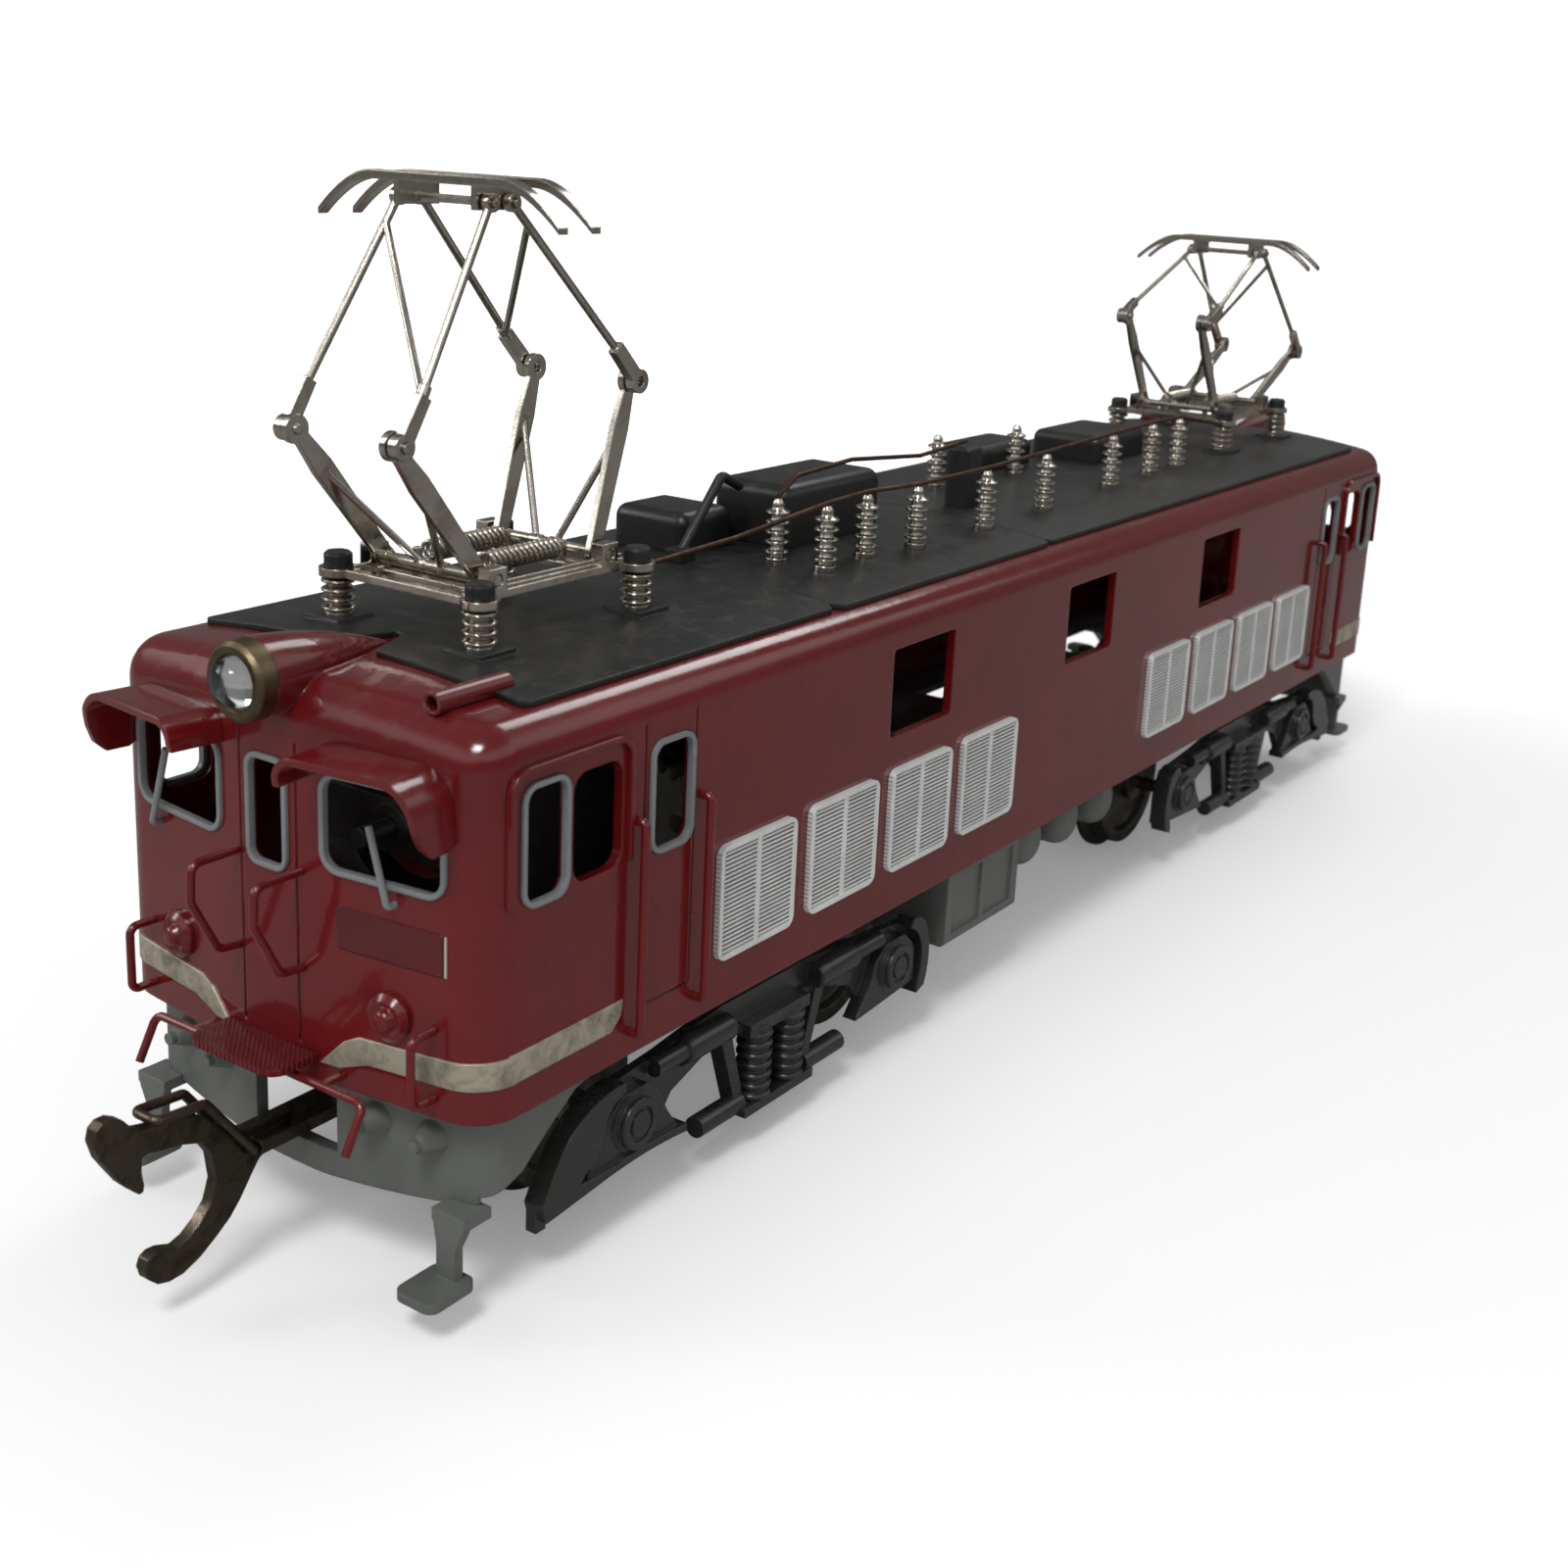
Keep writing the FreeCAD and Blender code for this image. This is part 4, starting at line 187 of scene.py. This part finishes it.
# ---------------------------------------------------------------- finishes
def enamel(name, deep, haze, peel, dust, rough=0.22, worn_color=None, wear=0.0):
    """Gloss enamel: orange peel, drifted thickness, dust, a painted highlight on edges, and
    chipped edges if worn.
    """
    shader = Shader(name)
    dust_color = (0.26, 0.2, 0.19)
    drift = shader.noise(scale=45.0, detail=4.0, rough=0.6)
    mottle = shader.noise(scale=260.0)
    color = shader.mix(shader.remap(drift, span=(0.35, 0.68)), deep, haze)
    color = shader.mix(shader.remap(mottle, span=(0.3, 0.75), to=(0.0, 0.3)),
                       color, shade(deep, gain=0.72))
    specks = shader.remap(shader.noise(scale=6400.0, detail=1.0, rough=0.4),
                          span=(0.74, 0.80), to=(0.0, 0.16))
    color = shader.mix(specks, color, shade(haze, gain=1.5, add=0.03))
    dusty = shader.dust(slope=0.2, scale=520.0, rough=0.7, span=(0.52, 0.76), amount=dust)
    color = shader.mix(dusty, color, dust_color)
    edges = shader.edges(radius=0.00022, bend=(0.03, 0.34))
    # painted highlight: edges are lightened towards the haze colour
    color = shader.mix(edges, color, shade(haze, gain=1.45, add=0.012), amount=0.16)
    if worn_color:
        flakes = shader.noise(scale=1400.0, detail=4.0, rough=0.65)
        chips = shader.times(edges, shader.remap(flakes, span=(0.60, 0.66)))
        color = shader.mix(chips, color, worn_color, amount=wear)
    gloss = shader.remap(mottle, span=(0.3, 0.7), to=(rough - 0.05, rough + 0.07))
    smears = shader.remap(
        shader.noise(scale=30.0, detail=5.0, rough=0.6, stretch=(1.0, 0.35, 2.2)),
        span=(0.42, 0.7), to=(0.0, 0.14))
    ripple = shader.weighted(shader.noise(scale=620.0, detail=2.0, rough=0.5),
                             shader.noise(scale=2600.0, detail=2.0, rough=0.5),
                             shares=(0.8, 0.2))
    normal = shader.bump(ripple, strength=peel, distance=0.00022)
    shader.surface({"Base Color": color, "Normal": normal, "Coat Normal": normal,
                    "Roughness": shader.plus(gloss, shader.times(dusty, 0.5)),
                    "Coat Weight": 0.9, "Coat Roughness": shader.plus(smears, 0.045),
                    "Specular IOR Level": 0.28})
    return shader.material


def satin(name, base, rough, grain, dust, edge_highlight_gain, scale=3200.0, coat=0.0):
    """Satin sprayed paint with fine grain, dust and a painted highlight on edges."""
    shader = Shader(name)
    dust_color = (0.36, 0.34, 0.32)
    drift = shader.noise(scale=60.0, detail=5.0, rough=0.6)
    fine = shader.noise(scale=scale, detail=2.0, rough=0.6)
    color = shader.mix(shader.remap(drift, span=(0.3, 0.72)),
                       shade(base, gain=0.82), shade(base, gain=1.18))
    edges = shader.edges(radius=0.00025, bend=(0.02, 0.32))
    # painted highlight: edges are lightened by the edge gain
    color = shader.mix(edges, color, shade(base, gain=edge_highlight_gain, add=0.015), amount=0.5)
    dusty = shader.dust(slope=0.1, scale=700.0, rough=0.72, span=(0.5, 0.75), amount=dust)
    color = shader.mix(dusty, color, dust_color)
    scratches = shader.remap(shader.noise(scale=900.0, rough=0.6, stretch=(4.0, 0.15, 1.0)),
                             span=(0.66, 0.70), to=(0.0, 0.20))
    color = shader.mix(scratches, color, shade(base, gain=1.7, add=0.02))
    gloss = shader.remap(drift, span=(0.3, 0.7), to=(rough - 0.08, rough + 0.1))
    relief = shader.weighted(fine, shader.noise(scale=900.0), shares=(0.6, 0.4))
    shader.surface({"Base Color": color,
                    "Roughness": shader.plus(gloss, shader.times(fine, 0.08)),
                    "Normal": shader.bump(relief, strength=grain, distance=0.00012),
                    "Specular IOR Level": 0.5, "Coat Weight": coat, "Coat Roughness": 0.25})
    return shader.material


def plated(name, base, rough, tarnish, spread, grain=0.2, scale=240.0, metal=1.0):
    """Bare or plated metal with blotches of tarnish, pits and a painted highlight on edges.
    """
    shader = Shader(name)
    blotches = shader.noise(scale=scale, detail=6.0, rough=0.68, distortion=0.4)
    edges = shader.edges(radius=0.00018, bend=(0.02, 0.4))
    color = shader.mix(shader.remap(blotches, span=(0.47, 0.66), to=(0.0, spread)),
                       base, tarnish)
    # painted highlight: edges are lightened
    color = shader.mix(edges, color, shade(base, gain=1.15, add=0.04), amount=0.45)
    pits = shader.remap(shader.noise(scale=4200.0, detail=2.0, rough=0.5),
                        span=(0.68, 0.74), to=(0.0, 0.5))
    color = shader.mix(pits, color, shade(tarnish, gain=0.6))
    fine = shader.noise(scale=2400.0, rough=0.6, stretch=(1.0, 1.0, 1.0))
    gloss = shader.remap(blotches, span=(0.35, 0.7), to=(rough - 0.05, rough + 0.2))
    relief = shader.weighted(fine, blotches, shares=(0.7, 0.3))
    shader.surface({"Base Color": color, "Metallic": metal,
                    "Roughness": shader.plus(gloss, shader.times(pits, 0.4)),
                    "Normal": shader.bump(relief, strength=grain, distance=0.00008)})
    return shader.material


SLAT_PITCH = 0.00034
SLAT_ORIGIN = 0.0177075          # height the slats are counted from
LOUVRE_Z = (0.01765, 0.02555)    # bottom and top of the slatted area
LOUVRE_X = 0.01786               # slots are darkened only nearer the centre than this


def louvre_silver():
    """Silver paint over the pressed slats, with painted shade in the slots between them."""
    shader = Shader("louvre_silver")
    silver_dull, silver_pale = (0.66, 0.67, 0.66), (0.80, 0.805, 0.79)
    edge_highlight_color, grime_color = (0.88, 0.88, 0.87), (0.25, 0.24, 0.23)
    slot_shade_color = (0.16, 0.155, 0.15)
    drift = shader.noise(scale=320.0, detail=5.0, rough=0.65)
    fine = shader.noise(scale=2600.0, rough=0.6)
    color = shader.mix(shader.remap(drift, span=(0.35, 0.7)), silver_dull, silver_pale)
    edges = shader.edges(radius=0.0001, bend=(0.02, 0.35))
    # painted highlight on the edges
    color = shader.mix(edges, color, edge_highlight_color, amount=0.5)
    grime = shader.remap(shader.noise(scale=1500.0, detail=4.0, rough=0.7),
                         span=(0.58, 0.74), to=(0.0, 0.25))
    color = shader.mix(grime, color, grime_color)
    x, _, z = shader.split(shader.coords)
    # each slot is centred three quarters of the way up its pitch
    height = shader.math("SUBTRACT", z, SLAT_ORIGIN)
    phase = shader.math("FRACT", shader.math("DIVIDE", height, SLAT_PITCH))
    from_slot = shader.math("ABSOLUTE", shader.math("SUBTRACT", phase, 0.75))
    # painted shade: the silver is darkened in the slots between the slats
    dark = shader.remap(from_slot, span=(0.14, 0.30), to=(0.62, 0.0))
    across = shader.math("LESS_THAN", shader.math("ABSOLUTE", x), LOUVRE_X)
    within = shader.times(shader.math("GREATER_THAN", z, LOUVRE_Z[0]),
                          shader.math("LESS_THAN", z, LOUVRE_Z[1]))
    dark = shader.times(shader.times(dark, within), across)
    shader.surface({"Base Color": shader.mix(dark, color, slot_shade_color), "Metallic": 0.25,
                    "Roughness": shader.remap(fine, span=(0.3, 0.7), to=(0.34, 0.52)),
                    "Normal": shader.bump(fine, strength=0.25, distance=0.00005)})
    return shader.material


def clear_lens():
    shader = Shader("lamp_clear")
    haze = shader.noise(scale=900.0, rough=0.5)
    ripple = shader.noise(scale=700.0, detail=2.0)
    shader.surface({"Base Color": (0.95, 0.97, 0.98), "Transmission Weight": 1.0,
                    "Roughness": shader.remap(haze, span=(0.35, 0.7), to=(0.02, 0.09)),
                    "IOR": 1.49,
                    "Normal": shader.bump(ripple, strength=0.12, distance=0.0001)})
    return shader.material


BAR_PITCH = 0.00085     # wavelength of the tread pattern, in x + y and in x - y


def chequered(source):
    """The tread plates: the same enamel with crossed raised bars and painted shade in the
    hollows between them.
    """
    shader = Shader("red_enamel_chequered", source)
    hollow_shade_tint = (0.55, 0.55, 0.55)
    x, y, _ = shader.split(shader.coords)
    waves = []
    for operation in ("ADD", "SUBTRACT"):
        diagonal = shader.math(operation, x, y)
        wave = shader.math("SINE", shader.times(diagonal, 2 * math.pi / BAR_PITCH))
        waves.append(shader.times(wave, wave))
    height = shader.math("MAXIMUM", *waves)
    plain = shader.feeding("Base Color")
    # painted shade: the hollows between the bars are darkened
    dark = shader.mix(1.0, plain, hollow_shade_tint, mode="MULTIPLY")
    normal = shader.bump(height, strength=1.0, distance=0.00022)
    shader.surface({"Base Color": shader.mix(shader.times(height, height), dark, plain),
                    "Coat Weight": 0.35, "Specular IOR Level": 0.15,
                    "Normal": normal, "Coat Normal": normal})
    return shader.material


materials = {"red_paint": enamel(
    "red_enamel", deep=(0.110, 0.0040, 0.0055), haze=(0.140, 0.0062, 0.0078),
    peel=0.09, dust=0.10, worn_color=(0.16, 0.1, 0.08), wear=0.35)}

# finish, name of slot and material, look
FINISHES = (
    (satin, "roof_black", dict(
        base=(0.0135, 0.0140, 0.0134), rough=0.31, grain=0.25, dust=0.10, edge_highlight_gain=2.0)),
    (satin, "frame_grey", dict(
        base=(0.19, 0.20, 0.205), rough=0.34, grain=0.2, dust=0.1, edge_highlight_gain=1.3, coat=0.2)),
    (satin, "underframe_grey", dict(
        base=(0.118, 0.126, 0.116), rough=0.36, grain=0.2, dust=0.12, edge_highlight_gain=1.3,
        coat=0.15)),
    (satin, "bogie_black", dict(
        base=(0.019, 0.0185, 0.0172), rough=0.22, grain=0.35, dust=0.14, edge_highlight_gain=3.6,
        scale=1800.0, coat=0.8)),
    (plated, "bright_nickel", dict(
        base=(0.60, 0.56, 0.49), rough=0.14, tarnish=(0.20, 0.16, 0.115), spread=0.5)),
    (plated, "trim_nickel", dict(
        base=(0.66, 0.61, 0.47), rough=0.36, tarnish=(0.14, 0.13, 0.11), spread=0.7,
        scale=420.0, grain=0.35, metal=0.75)),
    (plated, "lamp_bronze", dict(
        base=(0.20, 0.155, 0.095), rough=0.36, tarnish=(0.08, 0.06, 0.045), spread=0.6,
        scale=700.0)),
    (plated, "lamp_mirror", dict(
        base=(0.55, 0.56, 0.56), rough=0.10, tarnish=(0.5, 0.5, 0.48), spread=0.25,
        scale=900.0)),
    (plated, "wire_brown", dict(
        base=(0.13, 0.075, 0.052), rough=0.42, tarnish=(0.05, 0.03, 0.025), spread=0.6,
        scale=500.0)),
    (plated, "wheel_steel", dict(
        base=(0.22, 0.205, 0.18), rough=0.33, tarnish=(0.05, 0.045, 0.04), spread=0.7,
        scale=380.0)),
    (plated, "motor_steel", dict(
        base=(0.30, 0.30, 0.29), rough=0.40, tarnish=(0.12, 0.1, 0.08), spread=0.5)),
    (plated, "worm_brass", dict(
        base=(0.56, 0.41, 0.18), rough=0.28, tarnish=(0.2, 0.13, 0.06), spread=0.45)),
    (plated, "screw_steel", dict(
        base=(0.48, 0.47, 0.44), rough=0.30, tarnish=(0.2, 0.18, 0.16), spread=0.4)),
    (plated, "coupler_bronze", dict(
        base=(0.150, 0.122, 0.090), rough=0.30, tarnish=(0.035, 0.028, 0.02), spread=0.7,
        scale=520.0, grain=0.4)),
    (satin, "gear_plastic", dict(
        base=(0.62, 0.60, 0.52), rough=0.45, grain=0.15, dust=0.1, edge_highlight_gain=1.1)),
    (enamel, "coil_red", dict(
        deep=(0.20, 0.022, 0.012), haze=(0.30, 0.045, 0.02), rough=0.3, peel=0.3, dust=0.1)),
)
for finish, name, look in FINISHES:
    materials[name] = finish(name, **look)
materials["louvre_silver"] = louvre_silver()
materials["lamp_clear"] = clear_lens()
materials["tread"] = chequered(enamel(
    "red_enamel_tread", deep=(0.150, 0.0045, 0.0060), haze=(0.185, 0.0070, 0.0085),
    peel=0.05, dust=0.05))


# ---------------------------------------------------------------- CAD pieces
def soft_shading(merge_distance=0.0000012, sharp_angle=math.radians(32)):
    """Joins the touching edges of the surface patches and smooths all but sharp edges."""
    group = bpy.data.node_groups.new("soft_shading", "GeometryNodeTree")
    for direction in ("INPUT", "OUTPUT"):
        group.interface.new_socket("Geometry", in_out=direction,
                                   socket_type="NodeSocketGeometry")
    graph = Graph(group)
    merge = graph.add("GeometryNodeMergeByDistance")
    graph.put(merge.inputs["Distance"], merge_distance)
    smooth = graph.add("GeometryNodeSetShadeSmooth", domain="FACE")
    sharpen = graph.add("GeometryNodeSetShadeSmooth", domain="EDGE")
    graph.put(sharpen.inputs["Shade Smooth"], False)
    angle = graph.add("GeometryNodeInputMeshEdgeAngle")
    is_sharp = graph.add("FunctionNodeCompare", data_type="FLOAT", operation="GREATER_THAN")
    graph.put(is_sharp.inputs[0], angle.outputs["Unsigned Angle"])
    graph.put(is_sharp.inputs[1], sharp_angle)
    graph.put(sharpen.inputs["Selection"], is_sharp.outputs[0])
    geometry = graph.add("NodeGroupInput").outputs[0]
    for node in (merge, smooth, sharpen):
        graph.put(node.inputs["Geometry"], geometry)
        geometry = node.outputs[0]
    graph.put(graph.add("NodeGroupOutput").inputs[0], geometry)
    return group


def dress_pieces():
    """Gives each CAD piece its one material and the soft shading."""
    shading = soft_shading()
    slots = {part["node"]: part["material_slot"] for part in frame["record"]["subparts"]}
    slots["tread_plates"] = "tread"
    for name, piece in frame["nodes"].items():
        mesh = piece.data
        mesh.materials.clear()
        mesh.materials.append(materials[slots[name]])
        for polygon in mesh.polygons:
            polygon.material_index = 0
        piece.modifiers.new("soft", "NODES").node_group = shading


dress_pieces()


def add_mesh(name, bm, material):
    mesh = bpy.data.meshes.new(name)
    bm.to_mesh(mesh)
    bm.free()
    mesh.materials.append(material)
    thing = bpy.data.objects.new(name, mesh)
    scene.collection.objects.link(thing)
    return thing


# ---------------------------------------------------------------- blank number panels
FOLD_X = 2.644 * MM               # fold of the end face, out from the centreline
FOLD_Y = 83.5 * MM                # and out from the middle of the engine
FACET_ANGLE = math.radians(6.673)  # how far the facet beside the fold turns back
PANEL_U = (3.28, 11.75)           # mm along the facet from the fold
PANEL_Z = (23.3, 26.2)            # mm
STRIP_GAP = 0.05                  # mm, strip beyond the panel, and inside its height
STRIP_END = 12.0                  # mm along the facet


def on_facet(u, z, height, end):
    """Point on an end's facet: u from the fold, height outwards; end is 1 front, -1 rear."""
    x = FOLD_X + u * math.cos(FACET_ANGLE) + height * math.sin(FACET_ANGLE)
    y = -FOLD_Y + u * math.sin(FACET_ANGLE) - height * math.cos(FACET_ANGLE)
    return (end * x, end * y, z)


def panel(name, across, upward, height, radius, material, end):
    """A thin plate with rounded corners and a softened edge; its sizes are in mm."""
    u0, u1, z0, z1 = (value * MM for value in (*across, *upward))
    height, radius = height * MM, radius * MM
    sunk, bevel = 0.02 * MM, 0.05 * MM
    outline = []                  # corner centre u and z, then direction u and z
    for u, z, start in ((u1 - radius, z1 - radius, 0), (u0 + radius, z1 - radius, 90),
                        (u0 + radius, z0 + radius, 180), (u1 - radius, z0 + radius, 270)):
        for k in range(5):
            angle = math.radians(start + 22.5 * k)
            outline.append((u, z, math.cos(angle), math.sin(angle)))
    bm = bmesh.new()
    rows = []
    for reach, level in ((radius, -sunk), (radius, height * 0.6), (radius - bevel, height)):
        rows.append([bm.verts.new(on_facet(u + reach * du, z + reach * dz, level, end))
                     for u, z, du, dz in outline])
    count = len(outline)
    for low, high in zip(rows, rows[1:]):
        for k in range(count):
            after = (k + 1) % count
            bm.faces.new((low[k], low[after], high[after], high[k]))
    bm.faces.new(rows[0][::-1])
    bm.faces.new(rows[-1])
    bmesh.ops.recalc_face_normals(bm, faces=bm.faces)
    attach(add_mesh(name, bm, material), "engine_body")


panel_red = enamel("panel_red", deep=(0.070, 0.0035, 0.0050), haze=(0.088, 0.0050, 0.0062),
                   rough=0.2, peel=0.05, dust=0.04)
panel_cream = satin("panel_cream", base=(0.46, 0.42, 0.33), rough=0.4, grain=0.1, dust=0.05,
                    edge_highlight_gain=1.1)
for end, tag in ((1, "front"), (-1, "rear")):
    panel("number_panel_" + tag, across=PANEL_U, upward=PANEL_Z, height=0.10, radius=0.25,
          material=panel_red, end=end)
    panel("number_panel_edge_" + tag, across=(PANEL_U[1] + STRIP_GAP, STRIP_END),
          upward=(PANEL_Z[0] + STRIP_GAP, PANEL_Z[1] - STRIP_GAP), height=0.08, radius=0.08,
          material=panel_cream, end=end)


# ---------------------------------------------------------------- camera
def add_camera():
    location = Vector((0.094074, -0.164171, 0.075541))
    yaw, pitch, roll = -0.600, -0.266, 0.046      # yaw is from +Y towards +X
    focus_distance = 0.150
    forward = Vector((math.sin(yaw) * math.cos(pitch), math.cos(yaw) * math.cos(pitch),
                      math.sin(pitch)))
    level = forward.cross(Vector((0, 0, 1))).normalized()
    upright = level.cross(forward)
    right = level * math.cos(roll) + upright * math.sin(roll)
    top = -level * math.sin(roll) + upright * math.cos(roll)
    data = bpy.data.cameras.new("camera")
    camera = bpy.data.objects.new("camera", data)
    scene.collection.objects.link(camera)
    pose = Matrix((right, top, -forward)).transposed().to_4x4()
    pose.translation = location
    camera.matrix_world = pose
    data.sensor_width = 36.0
    data.lens = 45.243585
    data.shift_x = 0.007244375
    data.shift_y = -0.07926375
    data.clip_start = 0.005
    data.clip_end = 20
    data.dof.use_dof = True
    focus = bpy.data.objects.new("focus_point", None)
    scene.collection.objects.link(focus)
    focus.location = location + forward * focus_distance
    data.dof.focus_object = focus
    data.dof.aperture_fstop = 80.0
    scene.camera = camera


add_camera()


# ---------------------------------------------------------------- floor
def pale_floor():
    """Near white, dimmer in reflections; glows to the camera, more so far out."""
    shader = Shader("pale_floor")
    reflected = (0.24, 0.235, 0.23)
    rays = shader.add("ShaderNodeLightPath").outputs
    grain = shader.remap(shader.noise(scale=9.0, detail=4.0), span=(0.3, 0.7))
    color = shader.mix(grain, (0.84, 0.84, 0.84), (0.87, 0.87, 0.87))
    color = shader.mix(rays["Is Glossy Ray"], color, reflected)
    length = shader.add("ShaderNodeVectorMath", operation="LENGTH")
    shader.put(length.inputs[0], shader.geometry["Position"])
    glow = shader.remap(length.outputs["Value"], span=(0.10, 0.45), to=(0.20, 1.0))
    shader.surface({"Base Color": color, "Roughness": 0.75, "Specular IOR Level": 0.1,
                    "Emission Color": (1.0, 1.0, 1.0),
                    "Emission Strength": shader.times(glow, rays["Is Camera Ray"])})
    return shader.material


def stage_floor():
    """Pale sweep: flat under the engine, curving up far behind it."""
    near, curve_start, radius = -2.2, 1.2, 0.8
    half_width, wall_top, drop, turn = 3.0, 3.0, 0.0010, 0.6
    profile = [(near, 0.0)]
    for k in range(13):
        angle = math.pi / 2 * k / 12
        profile.append((curve_start + radius * math.sin(angle),
                        radius - radius * math.cos(angle)))
    profile.append((curve_start + radius, wall_top))
    bm = bmesh.new()
    rows = [[bm.verts.new((x, y, z - drop)) for x in (-half_width, half_width)]
            for y, z in profile]
    for a, b in zip(rows, rows[1:]):
        bm.faces.new((a[0], a[1], b[1], b[0]))
    floor = add_mesh("floor_sweep", bm, pale_floor())
    for polygon in floor.data.polygons:
        polygon.use_smooth = True
    floor.rotation_euler = (0, 0, turn)


stage_floor()


# ---------------------------------------------------------------- world and lights
def studio_world():
    """White to the camera, even for soft light, a banded dark room in reflections."""
    soft_strength, camera_strength = 0.50, 1.0
    # height from straight down (0) to straight up (1), strength
    bands = [(0.0, 0.16), (0.64, 0.13), (0.70, 0.80), (0.80, 0.80), (0.87, 0.24), (1.0, 0.20)]
    world = bpy.data.worlds.new("studio")
    scene.world = world
    world.use_nodes = True
    graph = Graph(world.node_tree)
    rays = graph.add("ShaderNodeLightPath").outputs

    def choose(factor, a, b):
        """a where factor is 0, b where it is 1."""
        node = graph.add("ShaderNodeMix", data_type="FLOAT")
        graph.put(node.inputs[0], factor)
        graph.put(node.inputs[2], a)
        graph.put(node.inputs[3], b)
        return node.outputs[0]

    direction = graph.add("ShaderNodeTexCoord").outputs["Generated"]
    ramp = graph.add("ShaderNodeValToRGB")
    graph.put(ramp.inputs[0], graph.remap(graph.split(direction)[2], span=(-1.0, 1.0)))
    elements = ramp.color_ramp.elements
    while len(elements) < len(bands):
        elements.new(0.5)
    for element, (position, value) in zip(elements, bands):
        element.position = position
        element.color = (value, value, value, 1.0)
    indirect = choose(rays["Is Glossy Ray"], soft_strength, ramp.outputs[0])
    background = world.node_tree.nodes["Background"]
    graph.put(background.inputs[0], (1.0, 1.0, 1.0))
    graph.put(background.inputs[1], choose(rays["Is Camera Ray"], indirect, camera_strength))


def area_light(name, location, target, size, power):
    """A square lamp at location, aimed at target."""
    data = bpy.data.lights.new(name, "AREA")
    data.shape = "RECTANGLE"
    data.size = size
    data.size_y = size
    data.energy = power
    lamp = bpy.data.objects.new(name, data)
    scene.collection.objects.link(lamp)
    lamp.location = location
    aim = Vector(target) - Vector(location)
    lamp.rotation_euler = aim.to_track_quat("-Z", "Y").to_euler()


studio_world()
area_light("key", location=(0.16, -0.55, 0.75), target=(0, -0.03, 0.03), size=0.24, power=3.6)
area_light("fill_left", location=(-0.7, -0.5, 0.45), target=(0, -0.03, 0.03), size=0.3,
           power=1.3)
area_light("back_top", location=(-0.1, 0.6, 0.7), target=(0, 0, 0.03), size=0.3, power=1.2)
scene.view_settings.view_transform = "Standard"
